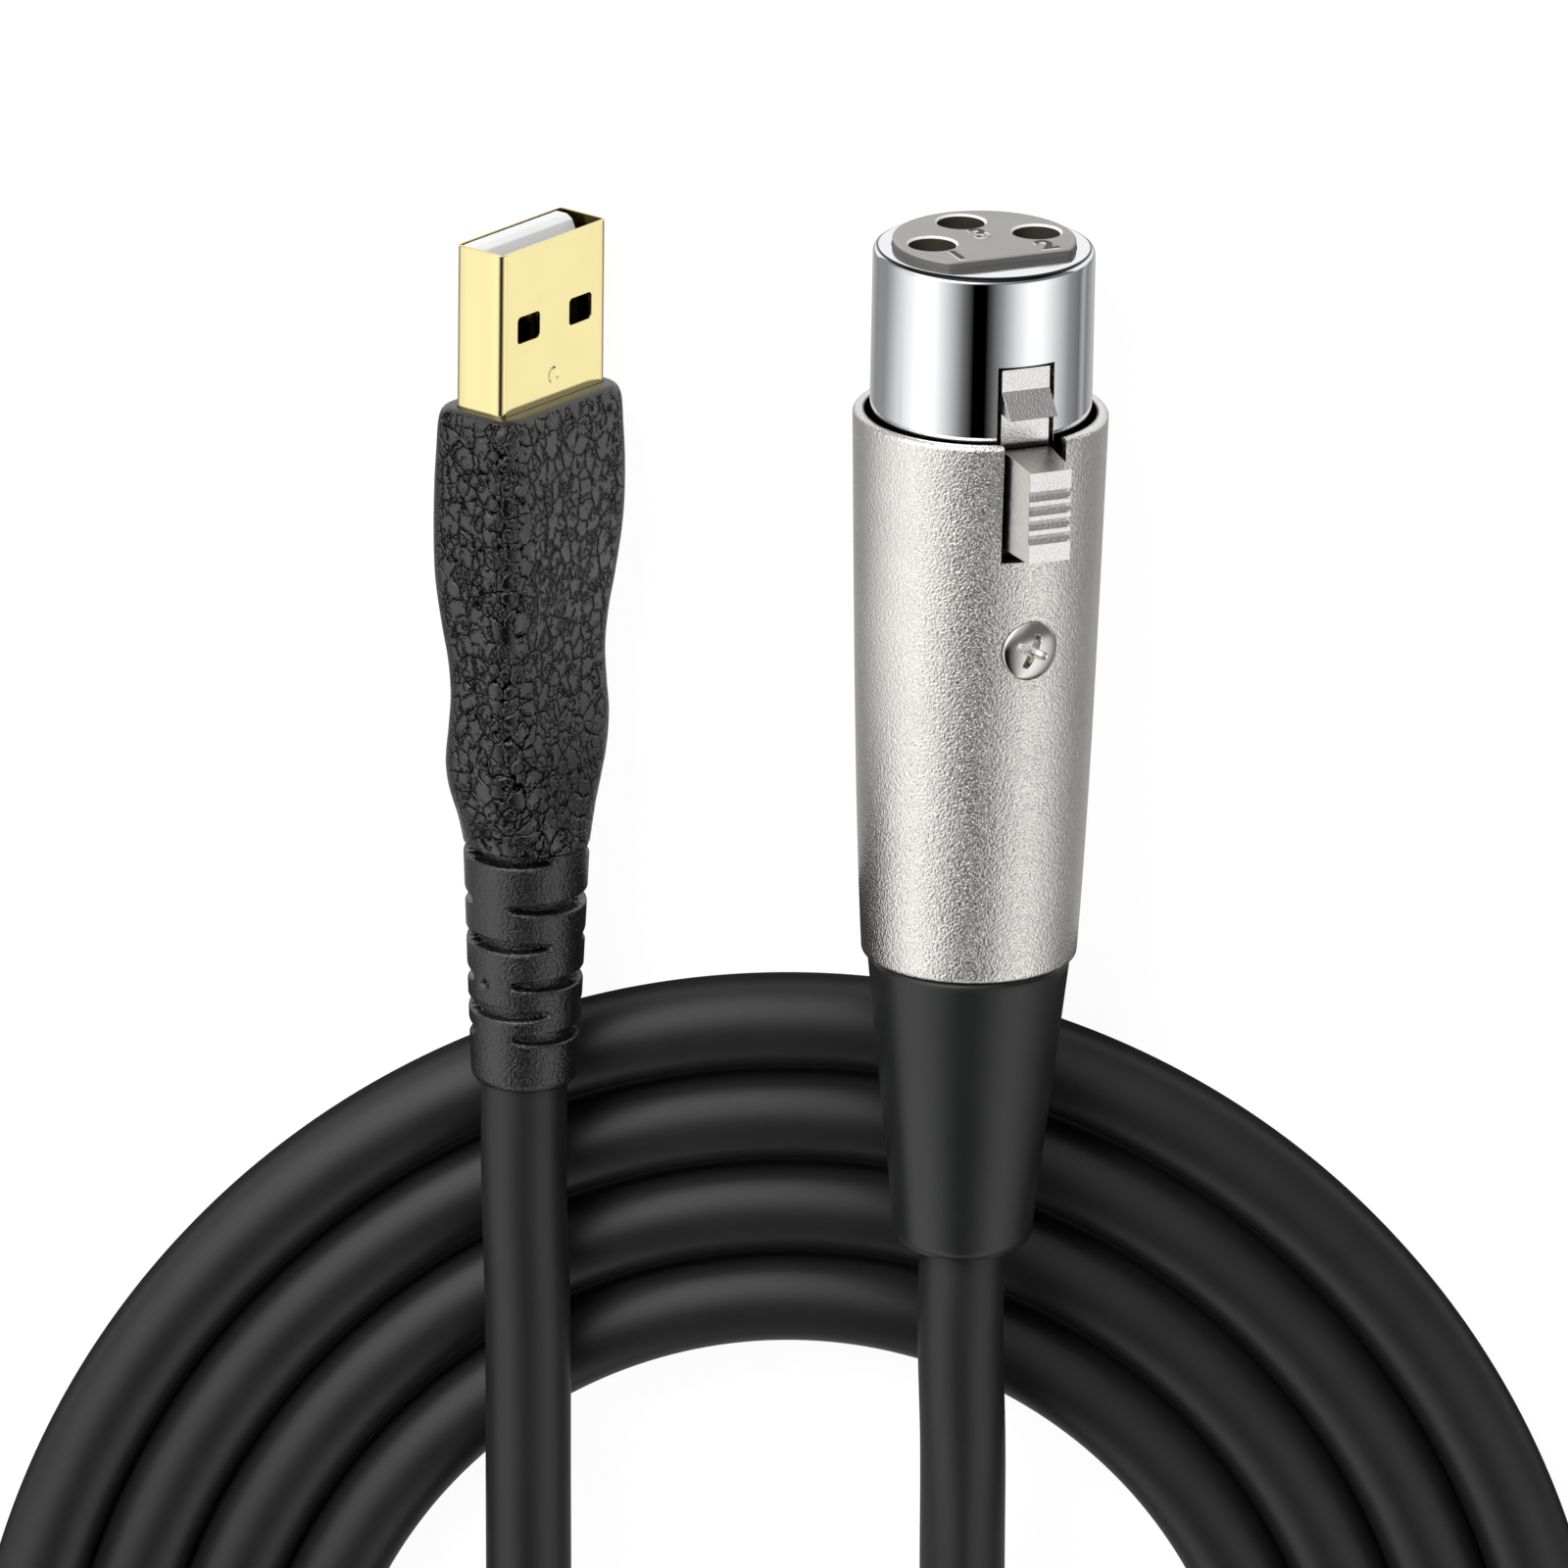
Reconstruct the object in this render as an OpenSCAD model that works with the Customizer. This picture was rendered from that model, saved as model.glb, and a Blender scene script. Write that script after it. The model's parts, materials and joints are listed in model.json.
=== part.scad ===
// Coiled microphone cable with a USB-A plug at one end and a 3-pin XLR socket at the other.
// Millimetres, +Z up. The cable lies on the plane z = 0. The origin is on that plane, midway
// between the two connectors, which both point along +Y. Each connector is drawn along its own
// axis, with z = 0 at its mouth and z growing towards its cord, and is then laid down.

/* [Cord] */
// Outside diameter of the cord
cord_d = 6.3; // [5.8:0.1:6.6]
// Gap between neighbouring turns of the coil
coil_gap = 0.5; // [0.45:0.05:0.8]
// Radius of the start of the innermost turn
coil_r = 35.7; // [34:0.1:38]
// Length over width of the oval coil
coil_oval = 1.08; // [1.04:0.01:1.1]
// Turns of the coil
coil_turns = 3.5; // [2.5:1:3.5]
// How far the inner end is drawn in from the spiral
coil_inset = 1.5; // [1:0.1:2]

/* [Nose shell] */
// Outside diameter of the nose
nose_d = 16.2; // [15.9:0.1:16.4]
// Wall of the nose
nose_wall = 0.9; // [0.8:0.05:1]
// Length of the nose, from its rim to its hidden end
nose_len = 24; // [22.5:0.5:24]
// Thickness of the flange that closes the nose's mouth
nose_flange = 1; // [0.8:0.1:1.2]
// Distance from the rim to the front edge of the latch window
window_s = 6.8; // [6.4:0.1:6.9]
// Width of the latch window
window_w = 4.5; // [4.3:0.1:4.7]

/* [Insert and contacts] */
// How far the insert's face stands proud of the nose
boss_h = 0.6; // [0.4:0.1:1]
// Width of the nose's flat rim round the insert's raised face
boss_margin = 1.4; // [1.3:0.05:1.6]
// How deep the flat that faces the latch cuts into the raised face
boss_cut = 2.1; // [1.9:0.1:2.3]
// Bevel round the raised face
boss_bevel = 0.35; // [0.2:0.05:0.4]
// Length of the insert behind the nose's rim
insert_len = 13.9; // [13.5:0.1:14.5]
// Radius of the circle through the three contact holes
contact_pitch_r = 4.15; // [4.1:0.05:4.2]
// Diameter of a contact hole in the insert
hole_d = 3.5; // [3.4:0.1:3.6]
// Outside diameter of a socket contact
contact_d = 3.3; // [3.2:0.05:3.35]
// Bore of a socket contact, for a pin of 2.4 mm
contact_bore = 2.44; // [2.42:0.01:2.5]
// Depth of a contact's mouth below the nose's rim
contact_s = 1.2; // [1:0.1:1.5]
// Depth of a contact's bore
contact_depth = 11.3; // [10:0.1:11.5]
// Diameter of a contact's solid tail
contact_tail_d = 2; // [1.8:0.1:2]

/* [Contact carrier] */
// Clearance of the carrier in the sleeve, on the radius
carrier_clear = 0.25; // [0.2:0.05:0.3]
// Length of the carrier behind the middle of the sleeve's screw
carrier_tail = 3.1; // [2.8:0.1:3.4]
// Depth of the floor of the latch trough below the nose's surface
trough_depth = 4.2; // [4.1:0.1:4.4]
// Clearance between fitted pieces
fit = 0.1; // [0.05:0.01:0.12]

/* [Latch] */
// Turn of the latch to the side, about the connector's axis
latch_turn = 24; // [20:1:28]
// Distance from the nose's hidden end to the latch's pivot
pivot_gap = 1.5; // [1.4:0.1:1.8]
// Depth of the latch's pivot below the nose's surface
pivot_depth = 1.9; // [1.8:0.1:2.1]
// Diameter of the pivot pin
pivot_d = 1.2; // [1:0.1:1.3]
// Length of the pivot pin
pivot_len = 7.2; // [6.8:0.1:7.4]
// Diameter of the lever's hub
hub_d = 2.2; // [2.1:0.1:2.4]
// Running clearance of the pin in the hub, on the radius
pivot_clear = 0.05; // [0.03:0.01:0.08]
// Width of the latch's arm
arm_w = 3.8; // [3.6:0.1:3.9]
// Depth of the arm's outer face below the nose's surface
arm_depth = 0.35; // [0.3:0.05:0.45]
// Thickness of the arm
arm_t = 1.15; // [1:0.05:1.2]
// Height of the hook's tip above the nose's surface
hook_h = 1.2; // [1:0.05:1.3]
// Distance from the rim to the foot of the hook's ramp
hook_s = 8.7; // [8.5:0.1:8.9]
// Length of the hook
hook_len = 1.8; // [1.6:0.1:2]
// Distance from the rim to the front of the thumb piece
thumb_s = 13; // [12.8:0.1:13.2]
// Length of the thumb piece
thumb_len = 7.4; // [7:0.1:7.5]
// How far the thumb piece's front face leans back
thumb_lean = 0.5; // [0.3:0.1:0.7]
// Width of the thumb piece
thumb_w = 3.3; // [3:0.1:3.5]
// Height of the thumb piece's outer face above the nose's surface
thumb_h = 4.35; // [4.1:0.05:4.6]
// Number of grip grooves across the thumb piece
groove_count = 4; // [2:1:5]
// Pitch of the grip grooves
groove_pitch = 1.1; // [1:0.05:1.15]
// Width of a grip groove
groove_w = 0.75; // [0.6:0.05:0.85]
// Depth of a grip groove
groove_depth = 0.35; // [0.2:0.05:0.4]
// Coil diameter of the latch spring
spring_d = 2.6; // [2.4:0.1:2.8]
// Wire diameter of the latch spring
spring_wire = 0.4; // [0.3:0.05:0.4]
// Turns of the latch spring
spring_turns = 4; // [3:1:5]
// Distance from the rim to the latch spring
spring_s = 17.2; // [16.8:0.1:18]
// Length of the latch spring with its clearances
spring_len = 4.2; // [4:0.1:4.3]

/* [Sleeve] */
// Distance from the nose's rim to the sleeve's rim
sleeve_s = 12.4; // [12.2:0.1:12.6]
// Length of the sleeve
sleeve_len = 41.7; // [41.2:0.1:42.2]
// Thickness of the sleeve at its rim
sleeve_rim = 1.15; // [1.1:0.05:1.3]
// Radius of the sleeve at its narrow end
sleeve_r2 = 7.9; // [7.85:0.05:8.1]
// Clearance of the sleeve round the nose, on the radius
sleeve_clear = 0.1; // [0.08:0.01:0.15]
// Rounding of the sleeve's rim
lip_r = 0.45; // [0.3:0.05:0.5]
// Width of the latch slot
slot_w = 5; // [4.6:0.1:5.2]
// Length of the latch slot
slot_len = 9; // [8.8:0.1:9.3]
// Bore of the sleeve round the boot's stem
stem_bore = 13.6; // [13.5:0.05:13.7]
// Turn of the sleeve, with its slot and screw, to the side, about the connector's axis
screw_turn = 26; // [25:1:28]
// Distance from the latch's pivot to the sleeve's screw
screw_gap = 2.8; // [2.7:0.1:3.1]
// Head diameter of the sleeve's screw
screw_head_d = 4.3; // [4:0.1:4.4]
// Thread diameter of the sleeve's screw
screw_d = 2.4; // [2.2:0.1:2.5]
// Length of the sleeve's screw below its head
screw_len = 4; // [3.5:0.1:4.2]

/* [Boot and cord grip] */
// Length of the boot behind the sleeve
boot_len = 22.6; // [21.6:0.1:23.6]
// Radius of the boot at the sleeve
boot_r1 = 7.45; // [7.3:0.05:7.6]
// Radius of the boot at its end, before the rounding
boot_r2 = 5.1; // [5:0.05:5.3]
// Rounding of the boot's end
boot_round = 1.3; // [1:0.1:1.5]
// Length of the boot's stem inside the sleeve
stem_len = 7; // [6.6:0.1:7.2]
// Outside radius of the chuck that grips the cord
chuck_r = 5.3; // [5:0.1:5.5]
// Length of the chuck
chuck_len = 9; // [8.5:0.1:9.5]
// Thickness of the chuck's flange
chuck_flange = 1.3; // [1.1:0.1:1.4]
// Width of the chuck's slit
chuck_slit = 1; // [0.6:0.1:1.4]

/* [Converter board] */
// Width of the circuit board
board_w = 12; // [11.4:0.1:12]
// Gap between the circuit board and the sleeve's inner rib
board_gap = 0.5; // [0.3:0.1:0.8]
// Thickness of the circuit board
board_t = 1.1; // [1:0.05:1.2]
// Side of the square converter chip
chip_w = 5; // [4:0.1:5.2]
// Height of the converter chip
chip_h = 1; // [0.8:0.1:1.2]
// Length of the crystal
crystal_len = 5; // [4:0.1:5.4]
// Width of the crystal
crystal_w = 1.8; // [1.6:0.1:2]
// Diameter of a capacitor
cap_d = 2.6; // [2.2:0.1:2.8]
// Height of a capacitor
cap_h = 3; // [2.4:0.1:3.4]
// Diameter of an insulated wire
wire_d = 0.9; // [0.8:0.05:1]

/* [USB plug] */
// Width of the plug's shell
usb_w = 12; // [11.9:0.05:12.1]
// Thickness of the plug's shell
usb_t = 4.5; // [4.4:0.05:4.6]
// Wall of the plug's shell
usb_wall = 0.3; // [0.25:0.05:0.35]
// Corner radius of the plug's shell
usb_corner = 0.6; // [0.5:0.05:0.7]
// Length of the plug's shell in front of the grip
usb_show = 12.4; // [12.2:0.1:12.8]
// Length of the plug's shell inside the grip
usb_hidden = 6.2; // [6:0.1:6.4]
// Width of a latching window in the shell
usb_window_w = 2.5; // [2.3:0.1:2.6]
// Length of a latching window in the shell
usb_window_len = 2; // [1.8:0.1:2.2]
// Distance from the mouth to the latching windows
usb_window_s = 5.16; // [5:0.05:5.3]
// Distance of a latching window from the shell's middle
usb_window_x = 2.95; // [2.8:0.05:3.1]
// Thickness of the tongue
tongue_t = 1.85; // [1.75:0.05:1.9]
// Bevel of the tongue's front edge
tongue_bevel = 0.5; // [0.3:0.1:0.7]
// Width of a plug contact
strip_w = 1.1; // [1:0.05:1.2]
// Thickness of a plug contact
strip_t = 0.25; // [0.2:0.05:0.3]
// Turn of the plug about its own axis
usb_turn = 50.9; // [48:0.1:54]

/* [USB grip] */
// Length of the grip
grip_len = 34.2; // [33.8:0.1:34.6]
// Width of the grip's widest section
grip_w = 14.6; // [14.4:0.1:15]
// Thickness of the grip's widest section
grip_t = 8.6; // [8.5:0.1:9]
// Width of the inner moulding
inner_w = 12; // [11.7:0.1:12]
// Thickness of the inner moulding
inner_t = 6.2; // [6:0.1:6.3]
// Length of the inner moulding
inner_len = 14; // [13.8:0.1:14.2]
// Width of the shield can
can_w = 10.8; // [10.6:0.1:11]
// Thickness of the shield can
can_t = 4.6; // [4.4:0.1:4.8]
// Wall of the shield can
can_wall = 0.3; // [0.2:0.05:0.35]
// Length of the shield can
can_len = 12; // [11.6:0.1:12.2]

/* [USB strain relief] */
// Length of the strain relief
relief_len = 18.6; // [18:0.1:19.4]
// Radius of the strain relief at the grip
relief_r1 = 4.65; // [4.5:0.05:4.8]
// Radius of the strain relief at its end, before the rounding
relief_r2 = 3.95; // [3.85:0.05:4.1]
// Rounding of the strain relief's end
relief_round = 1; // [0.6:0.1:1.1]
// Radius left at the floor of the slots
relief_core = 3.55; // [3.5:0.05:3.6]
// Width of a slot along the strain relief
relief_slot = 1.2; // [1:0.1:1.4]
// Reach of a slot to each side of its middle
relief_reach = 67; // [60:1:72]

/* [Layout] */
// Distance of the XLR connector's mouth to the right of the origin
xlr_x = 15.4; // [15:0.1:17]
// Distance of the USB plug's mouth to the left of the origin
usb_x = 17.5; // [17:0.1:19]
// Distance of both mouths in front of the origin
mouth_y = 37.6; // [37.2:0.1:38]
// How far the USB plug's mouth lies ahead of the other connector's
usb_ahead = 0.25; // [0:0.05:0.5]
// Downward slope of the XLR connector
xlr_tilt = 4.1; // [4:0.1:4.4]
// Downward slope of the USB plug
usb_tilt = 3.6; // [3.5:0.1:3.9]
// Sideways lean of the XLR connector
xlr_lean = 1.1; // [0.9:0.1:1.3]
// Sideways lean of the USB plug
usb_lean = 0.6; // [0.4:0.1:0.8]
// Distance of the coil's centre behind the origin
coil_y = 87.9; // [87.6:0.1:88.4]
// Distance of the coil's centre to the right of the origin
coil_x = 1.1; // [0.6:0.1:1.4]

/* [Hidden] */
$fn = 64;

eps = 0.01;
cord_r = cord_d / 2;

// Cord: section sides, rings in a turn of the coil, and how deep its underside is cut flat.
// The coil's hexagon keeps its widest corners to the sides, where its turns lie closest.
coil_sides = 6;
tail_sides = 10;
turn_rings = 24;
flat_cut = cord_d / 10;

// XLR connector, measured from the nose's rim.
nose_r = nose_d / 2;
boss_r = nose_r - boss_margin;
boss_flat = boss_r - boss_cut;
nose_bore_r = nose_r - nose_wall;
nose_fit_r = nose_bore_r - fit;
insert_s = nose_flange + fit / 2;
carrier_s = insert_len + fit;
// Small bevels and clearances of the metal pieces.
edge = 0.15;
hub_clear = 0.25;
pin_fit = 0.02;
pivot_s = nose_len + pivot_gap;
pivot_u = nose_r - pivot_depth;
trough_u = nose_r - trough_depth;
screw_s = pivot_s + screw_gap;
carrier_end = screw_s + carrier_tail;
trough_w = arm_w + 2 * hub_clear;
trough_end = pivot_s + hub_d / 2 + hub_clear;
arm_s = window_s + hub_clear;
arm_u = nose_r - arm_depth;
arm_in = arm_u - arm_t;
hook_u = nose_r + hook_h;
thumb_u = nose_r + thumb_h;
spring_u = arm_in - spring_len;
thumb_end = thumb_s + thumb_len;
spring_clear = 0.3;
sleeve_end = sleeve_s + sleeve_len;
slot_end = sleeve_s + slot_len;
boot_end = sleeve_end + boot_len;
sleeve_wall = 1.1;
sleeve_bore_r = nose_r + sleeve_clear;
sleeve_r1 = sleeve_bore_r + sleeve_rim;
carrier_r = sleeve_bore_r - carrier_clear;
sleeve_steps = 12;
stem_r = stem_bore / 2 - fit;
stem_s = sleeve_end - stem_len;
chuck_s = stem_s - chuck_flange - fit / 2;
rib_r = 6;
rib_t = 1;
rib_s = chuck_s - rib_t - fit / 2;
// The circuit board sits in a slot of the carrier, and the contacts' tails run on along it.
board_seat = 1.9;
board_s = carrier_end - board_seat;
board_end = rib_s - board_gap;
board_u = -contact_tail_d / 2 - fit / 2;
tail_end = carrier_end + 3;
chip_s = tail_end + 1 + chip_w / 2;
cord_hole_r = cord_r + fit / 2;
wire_r = wire_d / 2;
wire_colors = ["red", "white", "green", "black"];
wire_places = [-1.5, -0.5, 0.5, 1.5];
contact_places = [[-contact_pitch_r, 0], [contact_pitch_r, 0], [0, -contact_pitch_r]];

// USB plug, measured from its mouth.
usb_shell_end = usb_show + usb_hidden;
inner_s = usb_shell_end + 2 * fit;
inner_end = inner_s + inner_len;
inner_corner = 1.6;
can_corner = 0.8;
solder_r = 2.25;
grip_end = usb_show + grip_len;
relief_s = grip_end + fit;
usb_end = relief_s + relief_len;
usb_cord_s = inner_end + fit;
usb_in_w = usb_w - 2 * usb_wall;
usb_in_t = usb_t - 2 * usb_wall;
usb_in_corner = usb_corner - usb_wall;
// The tongue's square corners clear the shell's round ones.
tongue_gap = 0.3 * usb_in_corner + eps;
tongue_w = usb_in_w - 2 * tongue_gap;
tongue_low = -usb_in_t / 2 + tongue_gap;
tongue_top = tongue_low + tongue_t;
block_s = 12;
block_end = usb_shell_end - usb_wall;
// Contacts: places across the tongue, and how far each one's front lies behind the mouth.
strip_places = [-3.5, -1, 1, 3.5];
strip_fronts = [1.3, 2.3, 2.3, 1.3];
strip_end = usb_shell_end + 4;
// Sections of the grip: distance behind the mouth, width and thickness less than the widest
// section's, and corner radius.
grip_sections = [[0, 1.4, 1.8, 1.6], [0.6, 0.6, 1, 2], [3.4, 0.1, 0.5, 2.2], [7.4, 0, 0, 2.4],
  [11.4, 0.2, 0.1, 2.4], [15.6, 1.2, 0.9, 2.2], [20.4, 2, 1.5, 2.2], [23.6, 2.2, 1.2, 2.5],
  [26.4, 1.7, 0.7, 2.9], [29, 2.4, 0.5, 3.3], [31.5, 3.8, 0.2, 3.8]];
// Slots of the strain relief, by their distance behind the grip: every second one is turned.
relief_slots = [-0.2, 3.5, 6.5, 9.5, 11.8, 13.7];

// Where the connectors lie. The sleeve's rim and the grip's belly rest on the plane.
function heading(lean, tilt) = [-sin(lean) * cos(tilt), -cos(lean) * cos(tilt), sin(tilt)];
rim_s = sleeve_s + lip_r;
xlr_tip = [xlr_x, mouth_y, sleeve_r1 * cos(xlr_tilt) - rim_s * sin(xlr_tilt)];
xlr_dir = heading(xlr_lean, xlr_tilt);
function belly_r(g) = g[3] + ((grip_w - g[1]) / 2 - g[3]) * sin(usb_turn)
  + ((grip_t - g[2]) / 2 - g[3]) * cos(usb_turn);
belly_z = max([for (g = grip_sections)
  belly_r(g) * cos(usb_tilt) - (usb_show + g[0]) * sin(usb_tilt)]);
usb_tip = [-usb_x, mouth_y + usb_ahead, belly_z];
usb_dir = heading(usb_lean, usb_tilt);
xlr_exit = xlr_tip + boot_end * xlr_dir;
usb_exit = usb_tip + usb_end * usb_dir;

// The coil is a spiral of half circles, drawn out along Y and wound clockwise from its inner end
// at its left. Its upper halves share one middle. Its lower halves share another, half a pitch to
// the left of it.
pitch = cord_d + coil_gap;
ease_turns = 0.12;
function spiral_half(t) = floor(2 * t);
function spiral_x(t) = coil_x - (spiral_half(t) % 2) * pitch / 2;
function spiral_r(t) = coil_r + pitch / 4 + spiral_half(t) * pitch / 2
  - coil_inset * pow(max(0, 1 - t / ease_turns), 2);
function spiral_angle(t) = 180 - 360 * t;
function spiral_point(t) = [spiral_x(t) + spiral_r(t) * cos(spiral_angle(t)),
  coil_oval * spiral_r(t) * sin(spiral_angle(t)) - coil_y, cord_r - flat_cut];
function unit(v) = v / norm(v);
tiny_turn = 0.001;
coil_in_dir = unit(spiral_point(tiny_turn) - spiral_point(0));
coil_out_dir = unit(spiral_point(coil_turns) - spiral_point(coil_turns - tiny_turn));
coil_in = spiral_point(0) - cord_d * coil_in_dir;
coil_out = spiral_point(coil_turns) + cord_d * coil_out_dir;
coil_steps = round(turn_rings * coil_turns);
coil_route = concat([coil_in], [for (i = [0:coil_steps]) spiral_point(i / turn_rings)],
  [coil_out]);
loop_gaps = [for (i = [1:coil_steps + 1], j = [i + turn_rings / 2:coil_steps + 2])
  if (j <= coil_steps + 2) norm(coil_route[i] - coil_route[j]) - cord_d];
echo(least_gap_of_coil = min(loop_gaps));

// Hand-laid points of the two free stretches of cord.
usb_bends = [[-18, -46, 10.2], [-18, -60, 9.6], [-18, -74, 8.6], [-18, -88, 8.8], [-18, -100, 9.9],
  [-15.7, -113, 10], [-9, -125, 10], [1, -133.5, 10], [14, -138, 10], [27, -138, 9.8],
  [39.5, -133.5, 7.8], [49.5, -125, 5], [56, -114, 3.4]];
xlr_bends = [[14, -55, 13], [14, -66, 9.4], [14, -77, 5.4], [14, -87, 3.4], [13.2, -99, 3.2],
  [8.5, -110, 3.2], [-1, -117, 3.2], [-12, -118.5, 3.2], [-22.5, -114.5, 3.2],
  [-30, -106, 3.2]];
usb_route = concat([usb_exit, usb_exit + cord_d * usb_dir], usb_bends,
  [coil_out + cord_d * coil_out_dir, coil_out]);
xlr_route = concat([xlr_exit, xlr_exit + cord_d * xlr_dir], xlr_bends,
  [coil_in - cord_d * coil_in_dir, coil_in]);
function run(p, i = 0) = i >= len(p) - 1 ? 0 : norm(p[i + 1] - p[i]) + run(p, i + 1);
echo(length_of_coil = run(coil_route), length_of_tails = run(usb_route) + run(xlr_route));

// Direction of a route at its point i.
function along(p, i) = unit(p[min(i + 1, len(p) - 1)] - p[max(i - 1, 0)]);

// Corner j of the section at point i of a route. No corner lies below the plane.
function corner(p, i, j, r, sides) =
  let (d = along(p, i), side = unit(cross(d, [0, 0, 1])), up = cross(side, d), a = 360 * j / sides,
    q = p[i] + r * cos(a) * side + r * sin(a) * up) [q.x, q.y, max(q.z, 0)];

// A closed tube of triangles through the points of a route.
module tube(p, r, sides) {
  last = (len(p) - 1) * sides;
  points = [for (i = [0:len(p) - 1], j = [0:sides - 1]) corner(p, i, j, r, sides)];
  walls = [for (i = [0:len(p) - 2], j = [0:sides - 1], half = [0, 1])
    let (a = i * sides + j, b = i * sides + (j + 1) % sides)
    half == 0 ? [a, b, b + sides] : [a, b + sides, a + sides]];
  caps = [for (j = [1:sides - 2], end = [0, 1])
    end == 0 ? [0, j + 1, j] : [last, last + j, last + j + 1]];
  polyhedron(points, concat(walls, caps));
}

// Lays children drawn along the XLR connector's axis where the connector lies.
module at_xlr() {
  translate(xlr_tip) rotate([0, 0, -xlr_lean]) rotate([90 - xlr_tilt, 0, 0]) children();
}

// The same, with +Y turned to the latch.
module at_latch() {
  at_xlr() rotate([0, 0, -latch_turn]) children();
}

// Lays children drawn along the USB plug's axis where the plug lies.
module at_usb() {
  translate(usb_tip) rotate([0, 0, -usb_lean]) rotate([90 - usb_tilt, 0, 0])
    rotate([0, 0, -usb_turn]) children();
}

// A cylinder between two distances on the connector's axis.
module rod(r, from, to) {
  translate([0, 0, from]) cylinder(r = r, h = to - from);
}

// A box between two distances on the axis, centred on X, between two heights on Y.
module bar(w, low, high, from, to) {
  translate([-w / 2, low, from]) cube([w, high - low, to - from]);
}

// Extrudes an outline of [distance on the axis, height on Y] across X.
module across(w) {
  translate([-w / 2, 0, 0]) rotate([0, -90, 0]) mirror([0, 0, 1]) linear_extrude(w) children();
}

// A rectangle with round corners.
module round_rect(w, t, r) {
  square([w - 2 * r, t], center = true);
  square([w, t - 2 * r], center = true);
  for (x = [-1, 1], y = [-1, 1]) translate([x * (w / 2 - r), y * (t / 2 - r)]) circle(r);
}

// A bar with round corners between two distances on the axis.
module round_bar(w, t, r, from, to) {
  translate([0, 0, from]) linear_extrude(to - from) round_rect(w, t, r);
}

// A straight wire between two points.
module wire(a, b, r) {
  d = b - a;
  translate(a) rotate([0, acos(d.z / norm(d)), atan2(d.y, d.x)]) cylinder(r = r, h = norm(d));
}

// The nose shell's body of revolution, cut flat at its mouth for the insert's raised face.
module nose_shell() {
  rim_round = 0.5;
  color("gainsboro") at_latch() difference() {
    rotate_extrude() difference() {
      union() {
        square([nose_r - rim_round, nose_len]);
        translate([0, rim_round]) square([nose_r, nose_len - rim_round]);
        translate([nose_r - rim_round, rim_round]) circle(rim_round);
      }
      translate([-eps, nose_flange]) square([nose_bore_r + eps, nose_len]);
    }
    intersection() {
      rod(boss_r + fit / 2, -1, nose_flange + 1);
      bar(nose_d, -nose_r, boss_flat + fit / 2, -1, nose_flange + 1);
    }
    bar(window_w, 0, nose_d, window_s, nose_len + 1);
  }
}

// The grey insert, with a raised face that is flat on the side of the latch.
module pin_insert() {
  color("darkgray") at_latch() difference() {
    intersection() {
      union() {
        rod(nose_fit_r, insert_s, insert_len);
        rod(boss_r, boss_bevel - boss_h, insert_s + eps);
        translate([0, 0, -boss_h]) cylinder(r1 = boss_r - boss_bevel, r2 = boss_r, h = boss_bevel);
      }
      across(nose_d) polygon([[-boss_h, -nose_d], [-boss_h, boss_flat - boss_bevel],
        [boss_bevel - boss_h, boss_flat], [insert_len, boss_flat], [insert_len, -nose_d]]);
    }
    for (p = contact_places) translate(p) rod(hole_d / 2, -1, insert_len + 1);
  }
}

// The carrier behind the insert, which holds the contacts, the latch's pin and the board.
module contact_carrier() {
  color([0.13, 0.13, 0.14]) at_latch() difference() {
    union() {
      rod(nose_fit_r, carrier_s, nose_len + fit);
      rod(carrier_r, nose_len + fit, carrier_end);
    }
    bar(trough_w, trough_u, nose_d, carrier_s - 1, trough_end);
    for (p = contact_places) translate(p) rod(contact_tail_d / 2 + fit / 2, carrier_s - 1,
      carrier_end + 1);
    translate([0, trough_u + 1, spring_s]) rotate([90, 0, 0])
      cylinder(r = spring_d / 2 + spring_clear, h = trough_u + 1 - spring_u + fit / 2);
    translate([-pivot_len / 2 - fit, pivot_u, pivot_s]) rotate([0, 90, 0])
      cylinder(r = pivot_d / 2 + pin_fit, h = pivot_len + 2 * fit);
    bar(board_w + 2 * fit, board_u - board_t - fit / 2, board_u + fit / 2, board_s - fit,
      carrier_end + 1);
    at_screw() {
      screw_hole(fit / 2);
      screw_cone(fit / 2);
    }
  }
}

// A tubular socket contact with a solid tail.
module contact(i) {
  place = contact_places[i];
  foot_w = 1;
  foot_len = 2;
  color("goldenrod") at_latch() translate(place) difference() {
    union() {
      rod(contact_d / 2, contact_s, insert_len);
      rod(contact_tail_d / 2, insert_len - eps, tail_end);
      // The low contact reaches up to the board's underside with a foot.
      if (place.y < 0) bar(foot_w, 0, board_u - board_t - fit / 2 - place.y, tail_end - foot_len,
        tail_end);
    }
    rod(contact_bore / 2, contact_s - 1, contact_s + contact_depth);
    translate([0, 0, contact_s - eps]) cylinder(r1 = contact_bore / 2 + 2 * edge,
      r2 = contact_bore / 2, h = 2 * edge);
  }
}

module contact_1() contact(0);
module contact_2() contact(1);
module contact_3() contact(2);

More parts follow.
